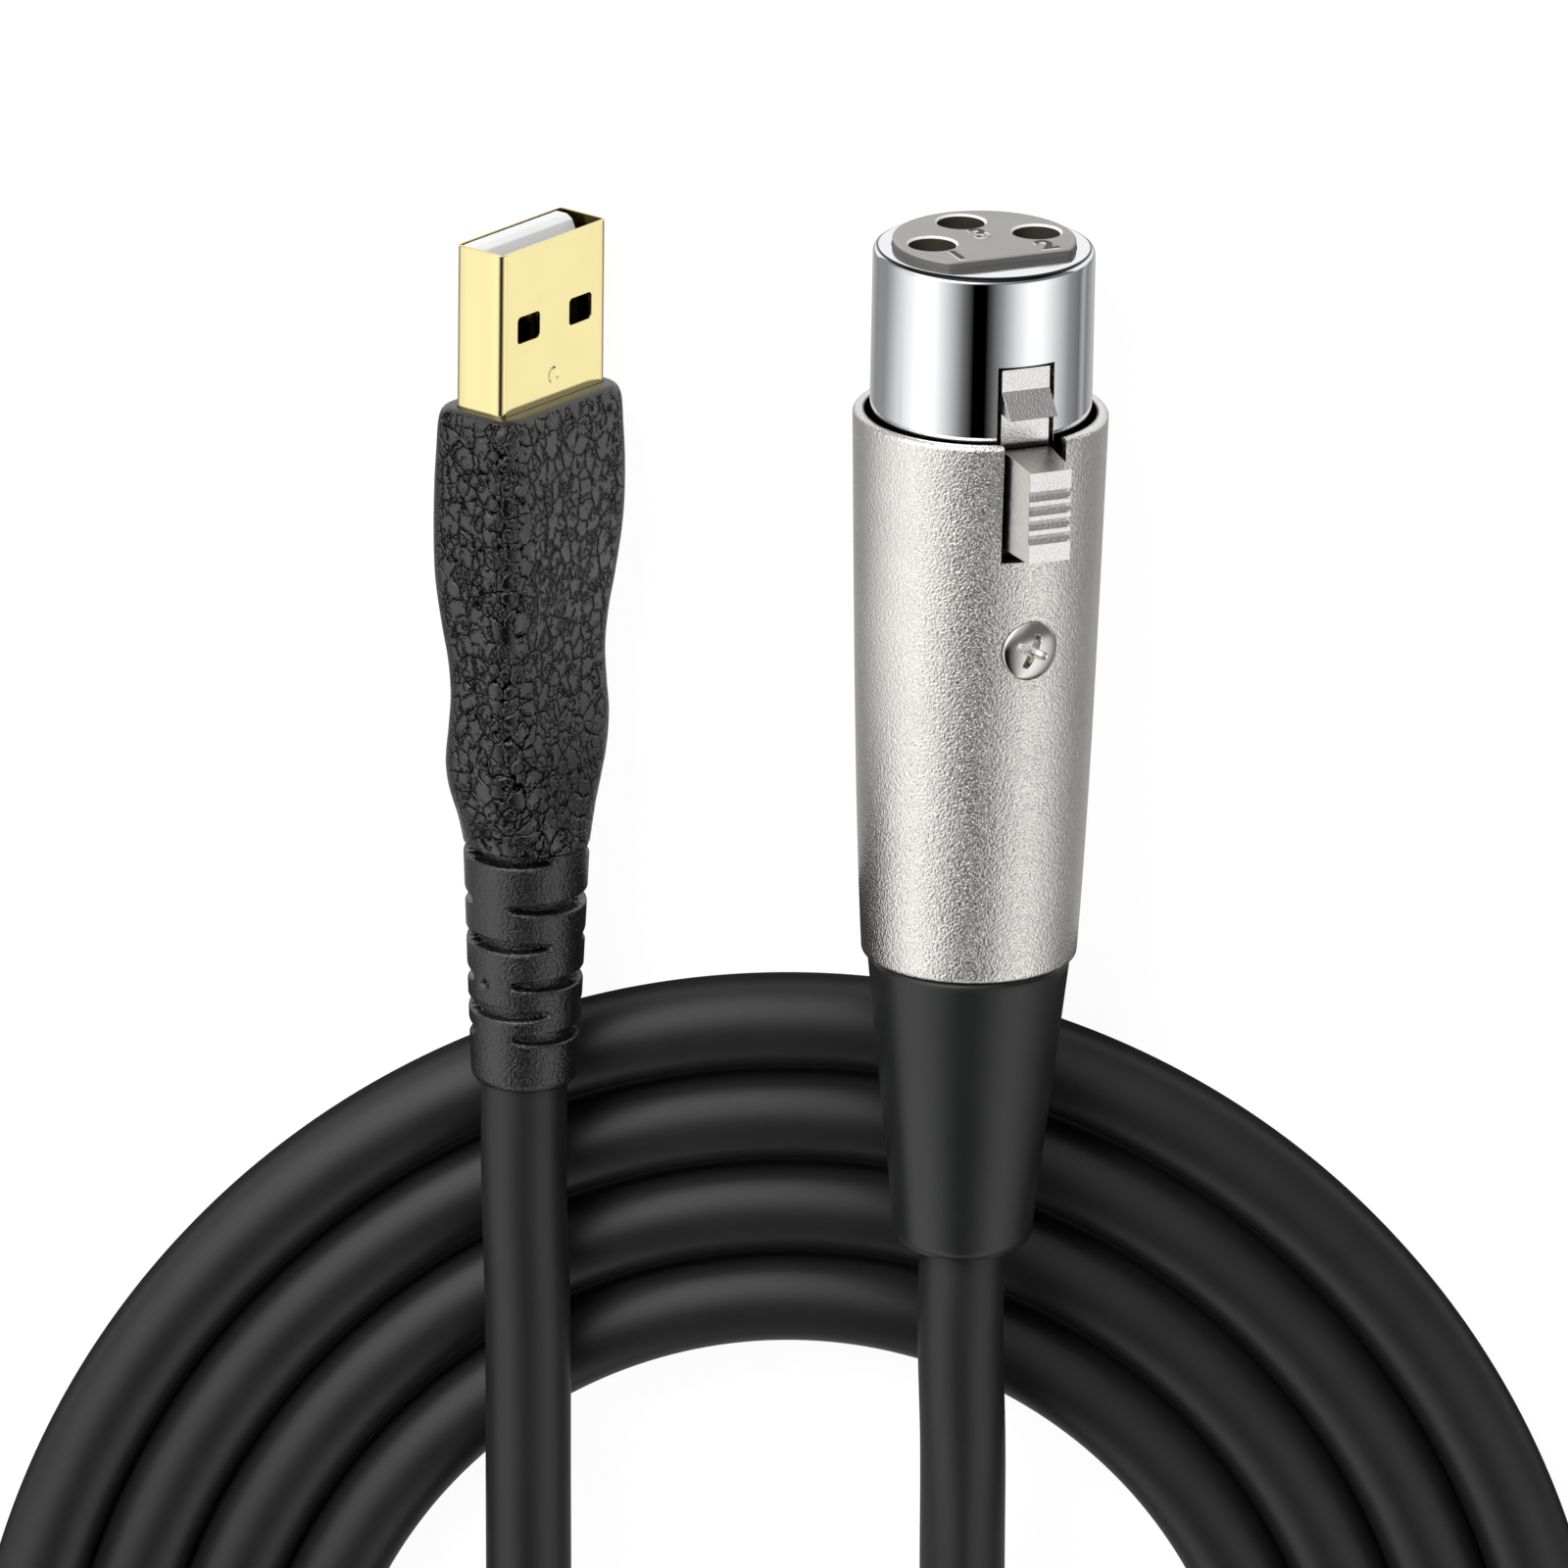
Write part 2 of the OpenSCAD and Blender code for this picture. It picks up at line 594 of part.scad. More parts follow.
// The latch: an arm with a hook at the window, a grooved thumb piece and a hub at its pivot.
module latch_lever() {
  thumb_face_s = thumb_s + thumb_lean;
  groove_s = (thumb_face_s + thumb_end - (groove_count - 1) * groove_pitch) / 2;
  hook_end = hook_s + hook_len;
  color("silver") at_latch() difference() {
    union() {
      across(arm_w) polygon([[arm_s, arm_in], [arm_s, arm_u], [hook_s, arm_u],
        [hook_end - edge, hook_u], [hook_end, hook_u - edge], [hook_end - edge, arm_u],
        [thumb_end + 2 * hub_clear, arm_u],
        [pivot_s, pivot_u + hub_d / 2], [pivot_s, pivot_u - hub_d / 2], [thumb_end, arm_in]]);
      across(thumb_w) difference() {
        polygon([[thumb_s, arm_u - eps], [thumb_face_s - edge / 2, thumb_u - edge],
          [thumb_face_s + edge / 2, thumb_u], [thumb_end - 2 * edge, thumb_u],
          [thumb_end, thumb_u - 2 * edge], [thumb_end, arm_u - eps]]);
        for (i = [0:groove_count - 1]) translate([groove_s + i * groove_pitch, thumb_u])
          polygon([[-groove_w / 2, eps], [groove_w / 2, eps], [0, -groove_depth]]);
      }
      translate([-arm_w / 2, pivot_u, pivot_s]) rotate([0, 90, 0])
        cylinder(d = hub_d, h = arm_w);
    }
    translate([-arm_w, pivot_u, pivot_s]) rotate([0, 90, 0])
      cylinder(r = pivot_d / 2 + pivot_clear, h = 2 * arm_w);
  }
}

module latch_pin() {
  color("gray") at_latch() translate([-pivot_len / 2, pivot_u, pivot_s]) rotate([0, 90, 0])
    cylinder(d = pivot_d, h = pivot_len);
}

// A small coil spring between the carrier and the lever.
module latch_spring() {
  r = (spring_d - spring_wire) / 2;
  low = spring_u + spring_wire / 2 + fit / 2;
  rise = arm_in - fit / 2 - spring_wire / 2 - low;
  rings = 8;
  steps = spring_turns * rings;
  route = [for (i = [0:steps]) [r * cos(360 * i / rings), -r * sin(360 * i / rings),
    low + rise * i / steps]];
  color("lightgray") at_latch() translate([0, 0, spring_s]) rotate([-90, 0, 0])
    spring_tube(route, spring_wire / 2);
}

// A tube like the cord's, without the plane that the cord lies on.
module spring_tube(p, r) {
  lift = 100;
  translate([0, 0, -lift]) tube([for (q = p) q + [0, 0, lift]], r, coil_sides);
}

// Radius of the sleeve at a share of its length.
function sleeve_r(f) = sleeve_r1 - (sleeve_r1 - sleeve_r2) * (0.75 * f + 0.25 * pow(f, 4));

// The tapered metal sleeve, with its latch slot, screw hole and stepped bore.
module sleeve() {
  rim = [for (a = [90:-30:0]) [sleeve_r1 - lip_r + lip_r * cos(a), rim_s - lip_r * sin(a)]];
  side = [for (i = [1:sleeve_steps]) [sleeve_r(i / sleeve_steps),
    sleeve_s + (sleeve_len - lip_r) * i / sleeve_steps]];
  recess = 0.3;
  recess_len = 1;
  bore = [[stem_bore / 2, sleeve_end], [stem_bore / 2, rib_s + rib_t], [rib_r, rib_s + rib_t],
    [rib_r, rib_s], [sleeve_r(0.8) - sleeve_wall, rib_s],
    [sleeve_r(0.45) - sleeve_wall, carrier_end + sleeve_wall / 2],
    [sleeve_bore_r, carrier_end + fit], [sleeve_bore_r, sleeve_s + recess_len + edge],
    [sleeve_bore_r + recess, sleeve_s + recess_len], [sleeve_bore_r + recess, sleeve_s]];
  foot = [[sleeve_r2 - lip_r, sleeve_end]];
  color("lightsteelblue") at_latch() difference() {
    rotate_extrude() polygon(concat(rim, side, foot, bore));
    rotate([0, 0, latch_turn - screw_turn]) bar(slot_w, 0, nose_d, sleeve_s - 1, slot_end);
    at_screw() {
      screw_hole(fit / 2);
      screw_cone(fit / 2);
    }
  }
}

// Puts children at the sleeve's screw, with +Z outwards and z = 0 at the sleeve's surface.
module at_screw() {
  f = (screw_s - sleeve_s) / sleeve_len;
  rotate([0, 0, latch_turn - screw_turn]) translate([0, sleeve_r(f) - fit, screw_s])
    rotate([-90, 0, 0]) children();
}

// The screw's countersunk cone.
screw_cone_h = 0.9;

module screw_hole(grow) {
  translate([0, 0, -screw_cone_h - screw_len]) cylinder(r = screw_d / 2 + grow, h = screw_len + 1);
}

module screw_cone(grow) {
  translate([0, 0, -screw_cone_h])
    cylinder(r1 = screw_d / 2 + grow, r2 = screw_head_d / 2 + grow, h = screw_cone_h + eps);
  cylinder(r = screw_head_d / 2 + grow, h = 3);
}

// The screw that fastens the sleeve to the carrier, with a cross recess in its oval head.
module sleeve_screw() {
  dome_h = 0.55;
  cross_len = 2.6;
  cross_w = 0.6;
  cross_turn = 20;
  dome_r = (pow(screw_head_d / 2, 2) + dome_h * dome_h) / (2 * dome_h);
  color("silver") at_latch() at_screw() difference() {
    union() {
      translate([0, 0, -screw_cone_h - screw_len + fit])
        cylinder(d = screw_d, h = screw_len + eps);
      translate([0, 0, -screw_cone_h])
        cylinder(r1 = screw_d / 2, r2 = screw_head_d / 2, h = screw_cone_h);
      intersection() {
        cylinder(d = screw_head_d, h = 1);
        translate([0, 0, dome_h - dome_r]) sphere(dome_r);
      }
    }
    for (a = [0, 90]) rotate([0, 0, a + cross_turn])
      translate([-cross_len / 2, -cross_w / 2, -cross_w]) cube([cross_len, cross_w, 3]);
  }
}

// The boot that screws into the sleeve and closes the chuck on the cord.
module boot() {
  tip = [boot_r2 - boot_round, boot_end - boot_round];
  round_end = [for (a = [0:22.5:90]) tip + boot_round * [cos(a), sin(a)]];
  chuck_end = chuck_s + chuck_len + fit;
  outer = [[stem_r, stem_s], [stem_r, sleeve_end + fit], [boot_r1 - 2 * edge, sleeve_end + fit],
    [boot_r1, sleeve_end + fit + 2 * edge]];
  inner = [[cord_hole_r, boot_end], [cord_hole_r, chuck_end + chuck_r - cord_r],
    [chuck_r + fit, chuck_end], [chuck_r + fit, stem_s]];
  color([0.09, 0.09, 0.1]) at_xlr() rotate_extrude() polygon(concat(outer, round_end, inner));
}

// The slit chuck that grips the cord inside the boot's stem.
module cord_chuck() {
  color("dimgray") at_xlr() difference() {
    union() {
      rod(stem_r, chuck_s, chuck_s + chuck_flange);
      rod(chuck_r, chuck_s, chuck_s + chuck_len);
    }
    rod(cord_hole_r, chuck_s - 1, chuck_s + chuck_len + 1);
    bar(chuck_slit, 0, nose_d, chuck_s - 1, chuck_s + chuck_len + 1);
  }
}

// The audio converter's circuit board, held by the carrier's slot.
module converter_board() {
  color("seagreen") at_latch() bar(board_w, board_u - board_t, board_u, board_s, board_end);
}

module converter_chip() {
  color([0.1, 0.1, 0.11]) at_latch()
    bar(chip_w, board_u, board_u + chip_h, chip_s - chip_w / 2, chip_s + chip_w / 2);
}

module board_crystal() {
  crystal_h = 1.2;
  color("silver") at_latch() translate([(board_w - crystal_w) / 2 - 2 * edge, 0, 0])
    bar(crystal_w, board_u, board_u + crystal_h, chip_s - crystal_len / 2,
      chip_s + crystal_len / 2);
}

module board_capacitors() {
  cap_x = (cap_d - board_w) / 2 + edge;
  color("darkslategray") at_latch() for (z = [chip_s - 1.5, chip_s + 1.5])
    translate([cap_x, board_u, z]) rotate([-90, 0, 0]) cylinder(d = cap_d, h = cap_h);
}

// Four insulated wires from the cord to the board.
module board_wires() {
  pad_pitch = 2.2;
  core_pitch = 0.96;
  core_u = 1.15;
  at_latch() for (i = [0:3]) color(wire_colors[i]) wire([wire_places[i] * pad_pitch,
    board_u + wire_r + fit, board_end - 1], [wire_places[i] * core_pitch, core_u,
    chuck_s - 3 * fit], wire_r);
}

module xlr_cord_end() {
  color([0.13, 0.13, 0.14]) at_xlr() rod(cord_r, chuck_s, boot_end);
}

// The plug's folded metal shell, open at both ends, with two windows in each broad side.
module usb_shell() {
  color("wheat") at_usb() difference() {
    round_bar(usb_w, usb_t, usb_corner, 0, usb_shell_end);
    round_bar(usb_in_w, usb_in_t, usb_in_corner, -1, usb_shell_end + 1);
    for (x = [-usb_window_x, usb_window_x]) translate([x, 0, 0])
      bar(usb_window_w, -usb_t, usb_t, usb_window_s, usb_window_s + usb_window_len);
  }
}

// The plastic tongue against the shell's far wall, and the block behind it.
module usb_tongue() {
  block_high = usb_in_t / 2 - tongue_gap;
  color("white") at_usb() difference() {
    union() {
      across(tongue_w) polygon([[0, tongue_low], [0, tongue_top - tongue_bevel],
        [tongue_bevel, tongue_top], [block_s + 1, tongue_top], [block_s + 1, tongue_low]]);
      bar(tongue_w, tongue_low, block_high, block_s, block_end);
    }
    for (x = strip_places) translate([x, 0, 0])
      bar(strip_w + fit, tongue_top, tongue_top + strip_t + fit / 2, block_s - 1, block_end + 1);
  }
}

// Four flat contacts along the tongue: the outer two reach further forward.
module usb_contacts() {
  color("gold") at_usb() for (i = [0:3]) translate([strip_places[i], 0, 0])
    bar(strip_w, tongue_top, tongue_top + strip_t, strip_fronts[i], strip_end);
}

// The shield can round the soldered ends.
module usb_can() {
  color("silver") at_usb() difference() {
    round_bar(can_w, can_t, can_corner, inner_s, inner_s + can_len);
    round_bar(can_w - 2 * can_wall, can_t - 2 * can_wall, can_corner - can_wall, inner_s - 1,
      inner_s + can_len + 1);
  }
}

// The stiff inner moulding round the shield can.
module usb_inner_mould() {
  color("ivory") at_usb() difference() {
    round_bar(inner_w, inner_t, inner_corner, inner_s, inner_end);
    round_bar(can_w + fit, can_t + fit, can_corner + fit / 2, inner_s - 1,
      inner_s + can_len + fit / 2);
    rod(solder_r, inner_s, inner_end + 1);
  }
}

// Corners of a rounded section of the grip.
section_steps = 5;
function grip_corner(k, w, t, r) = [for (i = [0:section_steps])
  let (a = 90 * k + 90 * i / section_steps,
    sx = k == 0 || k == 3 ? 1 : -1, sy = k < 2 ? 1 : -1)
  [sx * (w / 2 - r) + r * cos(a), sy * (t / 2 - r) + r * sin(a)]];
function grip_ring(g) = [for (k = [0:3])
  each grip_corner(k, grip_w - g[1], grip_t - g[2], g[3])];

// The soft grip: a loft through its sections down to a round end, hollow for what it covers.
module usb_grip() {
  round_end = [grip_len, grip_w - 2 * relief_r1, grip_t - 2 * relief_r1, relief_r1 - eps];
  sections = concat(grip_sections, [round_end]);
  n = 4 * (section_steps + 1);
  last = (len(sections) - 1) * n;
  points = [for (g = sections) each [for (q = grip_ring(g)) [q.x, q.y, usb_show + g[0]]]];
  walls = [for (i = [0:len(sections) - 2], j = [0:n - 1], half = [0, 1])
    let (a = i * n + j, b = i * n + (j + 1) % n)
    half == 0 ? [a, b + n, b] : [a, a + n, b + n]];
  caps = [for (j = [1:n - 2], end = [0, 1]) end == 0 ? [0, j, j + 1] : [last, last + j + 1, last + j]];
  color([0.1, 0.1, 0.11]) at_usb() difference() {
    polyhedron(points, concat(walls, caps));
    round_bar(usb_w + fit, usb_t + fit, usb_corner, usb_show - 1, inner_s);
    round_bar(inner_w + fit, inner_t + fit, inner_corner, inner_s - fit, inner_end + fit / 2);
    rod(cord_hole_r, inner_end - 1, grip_end + 1);
  }
}

// One slot of the strain relief, on both sides, as far as the core.
module relief_cut(from) {
  reach = 2 * relief_r1;
  fan = [for (a = [-1:0.5:1]) reach * [sin(a * relief_reach), cos(a * relief_reach)]];
  translate([0, 0, from]) linear_extrude(relief_slot) difference() {
    for (turn = [0, 180]) rotate([0, 0, turn]) polygon(concat([[0, 0]], fan));
    circle(relief_core);
  }
}

// The slotted strain relief behind the grip.
module usb_relief() {
  tip = [relief_r2 - relief_round, usb_end - relief_round];
  bend = [for (a = [0:22.5:67.5]) tip + relief_round * [cos(a), sin(a)]];
  color([0.12, 0.12, 0.13]) at_usb() difference() {
    rotate_extrude() polygon(concat([[cord_hole_r, relief_s], [relief_r1, relief_s]], bend,
      [[max(tip.x, cord_hole_r + 0.1), usb_end], [cord_hole_r, usb_end]]));
    for (i = [0:len(relief_slots) - 1]) rotate([0, 0, i % 2 == 0 ? 90 : 0])
      relief_cut(relief_s + relief_slots[i]);
  }
}

// Four insulated wires from the cord to the plug's contacts.
module usb_wires() {
  core_pitch = 0.95;
  at_usb() for (i = [0:3]) color(wire_colors[i])
    wire([strip_places[i], tongue_top + strip_t + wire_r + fit, strip_end - 1.5],
      [wire_places[i] * core_pitch, 0, usb_cord_s - fit], wire_r);
}

module usb_cord_end() {
  color([0.13, 0.13, 0.14]) at_usb() rod(cord_r, usb_cord_s, usb_end);
}

// The free stretch of cord from the USB plug over the coil to its outer end.
module usb_tail() {
  color([0.16, 0.16, 0.17]) tube(usb_route, cord_r, tail_sides);
}

// The coil: one unbroken spiral that lies flat on the plane.
module cord_coil() {
  color([0.2, 0.2, 0.21]) tube(coil_route, cord_r, coil_sides);
}

// The free stretch of cord from the XLR connector into the coil and to its inner end.
module xlr_tail() {
  color([0.16, 0.16, 0.17]) tube(xlr_route, cord_r, tail_sides);
}

nose_shell();
pin_insert();
contact_carrier();
contact_1();
contact_2();
contact_3();
latch_lever();
latch_pin();
latch_spring();
sleeve();
sleeve_screw();
boot();
cord_chuck();
converter_board();
converter_chip();
board_crystal();
board_capacitors();
board_wires();
xlr_cord_end();
usb_shell();
usb_tongue();
usb_contacts();
usb_can();
usb_inner_mould();
usb_grip();
usb_relief();
usb_wires();
usb_cord_end();
usb_tail();
cord_coil();
xlr_tail();
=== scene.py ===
"""Coiled microphone cable with a USB-A plug and a 3-pin XLR socket connector.

Points are worked out in millimetres and put into the meshes in metres. Each connector has its
own axes: w across it, u up from it and s back along it from its mouth.
"""
import json
import math

import bmesh
import bpy
import numpy as np
from mathutils import Matrix, Vector


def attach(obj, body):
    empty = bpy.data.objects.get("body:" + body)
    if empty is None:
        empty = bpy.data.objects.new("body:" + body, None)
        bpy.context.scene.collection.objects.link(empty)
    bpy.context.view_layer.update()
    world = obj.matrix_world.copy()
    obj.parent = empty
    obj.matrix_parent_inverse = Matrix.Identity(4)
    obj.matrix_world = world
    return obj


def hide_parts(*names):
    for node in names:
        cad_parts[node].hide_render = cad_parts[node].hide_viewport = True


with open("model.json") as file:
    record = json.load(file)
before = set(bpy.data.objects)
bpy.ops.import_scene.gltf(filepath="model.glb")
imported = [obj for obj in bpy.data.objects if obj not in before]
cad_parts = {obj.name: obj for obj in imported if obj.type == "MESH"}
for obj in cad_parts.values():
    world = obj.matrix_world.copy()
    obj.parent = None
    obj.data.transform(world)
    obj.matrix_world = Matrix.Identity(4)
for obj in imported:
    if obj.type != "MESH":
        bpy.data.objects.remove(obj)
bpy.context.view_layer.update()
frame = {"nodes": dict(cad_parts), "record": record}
MM = 0.001

# ---------------------------------------------------------------- view, floor and light

VIEW_LEAN = 22.5
VIEW_TARGET = Vector((0.85, -8.24, 0)) * MM
VIEW_DISTANCE = 2.5
VIEW_WIDTH = 115.1 * MM


def set_camera():
    """A long lens above the cable, leaning to the side that both connectors point to."""
    lean = math.radians(VIEW_LEAN)
    back = Vector((0, math.sin(lean), math.cos(lean)))
    up = Vector((0, math.cos(lean), -math.sin(lean)))
    camera = bpy.data.cameras.new("camera")
    camera.sensor_width = 36
    camera.lens = camera.sensor_width * VIEW_DISTANCE / VIEW_WIDTH
    camera.clip_end = 50
    seat = new_object("camera", camera)
    seat.matrix_world = Matrix.LocRotScale(
        VIEW_TARGET + VIEW_DISTANCE * back,
        Matrix((Vector((1, 0, 0)), up, back)).transposed(),
        None,
    )
    bpy.context.scene.camera = seat


def new_object(name, data):
    """A new object of the scene."""
    made = bpy.data.objects.new(name, data)
    bpy.context.scene.collection.objects.link(made)
    return made


def feed(tree, socket, value):
    """Gives an input a link or a constant."""
    if isinstance(value, bpy.types.NodeSocket):
        tree.links.new(value, socket)
    else:
        socket.default_value = value


def add(tree, kind, **values):
    """A node of a kind, with its properties, and links or constants for its named inputs."""
    node = tree.nodes.new("ShaderNode" + kind)
    for key, value in values.items():
        if hasattr(node, key):
            setattr(node, key, value)
        else:
            feed(tree, node.inputs[key.replace("_", " ")], value)
    return node


def math_node(tree, operation, *values, clamp=False):
    """A Math node's output, with links or numbers for its inputs."""
    node = add(tree, "Math", operation=operation, use_clamp=clamp)
    for socket, value in zip(node.inputs, values):
        feed(tree, socket, value)
    return node.outputs[0]


def times(tree, a, b):
    """The product of two links or numbers."""
    return math_node(tree, "MULTIPLY", a, b)


def most(tree, a, b):
    """The larger of two links or numbers."""
    return math_node(tree, "MAXIMUM", a, b)


def fade(tree, value, start, end, low=0.0, high=1.0):
    """A smooth step of a value: low as far as start, high from end on."""
    node = add(tree, "MapRange", interpolation_type="SMOOTHSTEP")
    for socket, number in zip(node.inputs[:5], (value, start, end, low, high)):
        feed(tree, socket, number)
    return node.outputs[0]


def blend(tree, share, a, b):
    """A mix of two numbers or links by a share."""
    node = add(tree, "Mix", data_type="FLOAT")
    for place, value in ((0, share), (2, a), (3, b)):
        feed(tree, node.inputs[place], value)
    return node.outputs[0]


def blend_colors(tree, share, a, b):
    """A mix of two colours or links by a share."""
    node = add(tree, "Mix", data_type="RGBA")
    for place, value in ((0, share), (6, a), (7, b)):
        feed(tree, node.inputs[place], value)
    return node.outputs[2]


def ramp(tree, value, stops, interpolation="LINEAR"):
    """A colour ramp's output: stops are (position, colour)."""
    node = add(tree, "ValToRGB")
    feed(tree, node.inputs[0], value)
    node.color_ramp.interpolation = interpolation
    for i, (position, color) in enumerate(stops):
        stop = node.color_ramp.elements[i] if i < 2 else node.color_ramp.elements.new(1)
        stop.position = position
        stop.color = (*color, 1)
    return node.outputs[0]


def own_place(tree):
    """The place of a shaded point in its object."""
    return add(tree, "TexCoord").outputs["Object"]


def seen_directly(tree, path):
    """1 for rays from the camera and for those that pass through."""
    return most(tree, path.outputs["Is Camera Ray"], path.outputs["Is Transmission Ray"])


def glow(tree, direction, toward, start, end, level):
    """A soft round light in the world: level where direction lies near toward."""
    facing = add(tree, "VectorMath", operation="DOT_PRODUCT")
    feed(tree, facing.inputs[0], direction)
    feed(tree, facing.inputs[1], Vector(toward).normalized())
    return fade(tree, facing.outputs["Value"], start, end, 0, level)


# Levels round the connectors' long axis, by the turn in degrees from straight overhead.
BOXES = [(-180, 0.8), (-140, 0.3), (-115, 0.42), (-95, 1.05), (-72, 1.45), (-50, 1.4),
         (-35, 0.8), (-20, 0.2), (-10, 0), (3, 0), (8, 0.09), (20, 0.4), (35, 1),
         (48, 1.4), (62, 1.4), (80, 0.9), (100, 0.36), (118, 0.2), (127, 0.55), (135, 0.28),
         (160, 0.65), (180, 0.35)]

# Soft round lights for gloss: direction, where they fade in and are full, and level.
KEY_GLOW = (-0.55, 0.6, 0.58), 0.6, 1, 2.4
TOP_GLOW = (0, 0.82, 0.57), 0.65, 0.98, 0.85
SKY_LEVEL, FRONT_LEVEL, UNDER_LEVEL = 0.32, 0.2, 1.2
FLOOR_GLOW, FLOOR_CLEAR, FLOOR_SIZE, FLOOR_LOW = 1.12, 0.85, 3, 0.02 * MM
CARD_X, CARD_NEAR, CARD_FAR, CARD_HIGH = -2 * MM, -12 * MM, 60 * MM, 20 * MM
CREASE_SHADE_RADII, CREASE_SHADE_HIGH = (34.5, 67), 0.01


def set_world():
    """An even sky, and for gloss two long soft boxes with a dark gap and a key light in front."""
    world = bpy.data.worlds.new("studio")
    bpy.context.scene.world = world
    world.use_nodes = True
    tree = world.node_tree
    tree.nodes.clear()
    place = add(tree, "TexCoord").outputs["Generated"]
    x, y, z = add(tree, "SeparateXYZ", Vector=place).outputs
    turn = math_node(tree, "MULTIPLY_ADD", math_node(tree, "ARCTAN2", x, z), 0.5 / math.pi, 0.5)
    boxes = ramp(tree, turn, [(0.5 + angle / 360, (level,) * 3) for angle, level in BOXES])
    # In front: a key towards the upper left, a weak top light, and white below.
    key, top = (glow(tree, place, *values) for values in (KEY_GLOW, TOP_GLOW))
    front = math_node(tree, "ADD", math_node(tree, "ADD", key, top), FRONT_LEVEL)
    front = blend(tree, fade(tree, z, -0.35, -0.2), UNDER_LEVEL, front)
    gloss = blend(tree, fade(tree, y, -0.12, 0.12), boxes, front)
    path = add(tree, "LightPath")
    level = blend(tree, path.outputs["Is Glossy Ray"], SKY_LEVEL, gloss)
    back = add(tree, "Background", Strength=blend(tree, seen_directly(tree, path), level, 1))
    add(tree, "OutputWorld", Surface=back.outputs[0])


def set_lamp(name, place, size, power):
    """A soft square lamp aimed at the middle of the connectors, left out of reflections."""
    lamp = bpy.data.lights.new(name, "AREA")
    lamp.size = size
    lamp.energy = power
    seat = new_object(name, lamp)
    place = Vector(place)
    seat.location = place
    seat.rotation_euler = (place - Vector((0, -0.03, 0))).to_track_quat("Z", "Y").to_euler()
    seat.visible_glossy = False


def studio_material(name):
    """An empty material of the studio, and its node tree."""
    material = bpy.data.materials.new(name)
    material.use_nodes = True
    material.node_tree.nodes.clear()
    return material, material.node_tree


def show_mix(tree, share, a, b):
    """Shows two shaders mixed by a share."""
    mix = add(tree, "MixShader", Fac=share)
    feed(tree, mix.inputs[1], a.outputs[0])
    feed(tree, mix.inputs[2], b.outputs[0])
    add(tree, "OutputMaterial", Surface=mix.outputs[0])


def sheet(name, corners, material, faces=((0, 1, 2, 3),)):
    """A flat sheet of the studio."""
    mesh = bpy.data.meshes.new(name)
    mesh.from_pydata(corners, [], faces)
    mesh.materials.append(material)
    made = new_object(name, mesh)
    return made


def set_floor():
    """A plain pale floor that keeps a soft shadow: gloss sees the white of the world instead."""
    material, tree = studio_material("pale_floor")
    matt = add(tree, "BsdfDiffuse", Color=(0.82, 0.82, 0.82, 1))
    white = add(tree, "Emission", Color=(1, 1, 1, 1), Strength=FLOOR_GLOW)
    share = times(tree, seen_directly(tree, add(tree, "LightPath")), FLOOR_CLEAR)
    show_mix(tree, share, matt, white)
    floor = sheet("floor", [(x * FLOOR_SIZE, y * FLOOR_SIZE, -FLOOR_LOW) for x, y in
                            ((-1, -1), (1, -1), (1, 1), (-1, 1))], material)
    floor.visible_glossy = False


def only_for_gloss(made):
    """Hides a sheet of the studio from all but reflections."""
    for ray in ("camera", "diffuse", "transmission", "volume_scatter", "shadow"):
        setattr(made, "visible_" + ray, False)


def set_card():
    """A pale card on edge between the connectors, so that neither shines in the other.

    Only gloss sees it. It fades out towards the cord. The side towards the XLR connector grows
    brighter upwards.
    """
    material, tree = studio_material("pale_card")
    _, y, z = add(tree, "SeparateXYZ", Vector=own_place(tree)).outputs
    toward_xlr = fade(tree, z, 6 * MM, 17 * MM, 0.28, 0.9)
    side = add(tree, "NewGeometry").outputs["Backfacing"]
    white = add(tree, "Emission", Color=(1, 1, 1, 1), Strength=blend(tree, side, toward_xlr, 1))
    share = times(tree, fade(tree, y, CARD_NEAR, 8 * MM),
                  fade(tree, z, 13 * MM, CARD_HIGH, 1, 0))
    show_mix(tree, share, add(tree, "BsdfTransparent"), white)
    material.cycles.emission_sampling = "NONE"
    only_for_gloss(sheet("card", [(CARD_X, y, z) for y, z in (
        (CARD_NEAR, 0), (CARD_FAR, 0), (CARD_FAR, CARD_HIGH), (CARD_NEAR, CARD_HIGH))], material))


def set_painted_crease_shade():
    """A dark oval sheet under the coil, painted shade that only gloss sees: its creases stay dark.
    """
    material, tree = studio_material("dark_painted_crease_shade")
    # Painted shade: a dim sheet standing for the dark under the coil.
    dark = add(tree, "Emission", Color=(1, 1, 1, 1), Strength=0.05)
    add(tree, "OutputMaterial", Surface=dark.outputs[0])
    material.cycles.emission_sampling = "NONE"
    turn = full_turn(96)
    rings = [np.stack([COIL_X + r * np.cos(turn), COIL_Y + COIL_OVAL * r * np.sin(turn),
                       CREASE_SHADE_HIGH + 0 * turn], 1) for r in CREASE_SHADE_RADII]
    n = len(turn)
    made = sheet("painted_crease_shade", (np.concatenate(rings) * MM).tolist(), material,
                 [(i, (i + 1) % n, n + (i + 1) % n, n + i) for i in range(n)])
    only_for_gloss(made)


# ---------------------------------------------------------------- places and sizes, as in the CAD


def connector(mount, turn):
    """The mouth of a connector and its axes w, u and s, turned about s by an angle."""
    found = next(m for m in frame["record"]["mounts"] if m["name"] == mount)
    back = -np.array(found["axis"])
    side = np.cross([0, 0, 1], back)
    side /= np.linalg.norm(side)
    up = np.cross(back, side)
    c, s = math.cos(math.radians(turn)), math.sin(math.radians(turn))
    return np.array(found["pos_m"]), np.array([c * side - s * up, s * side + c * up, back])


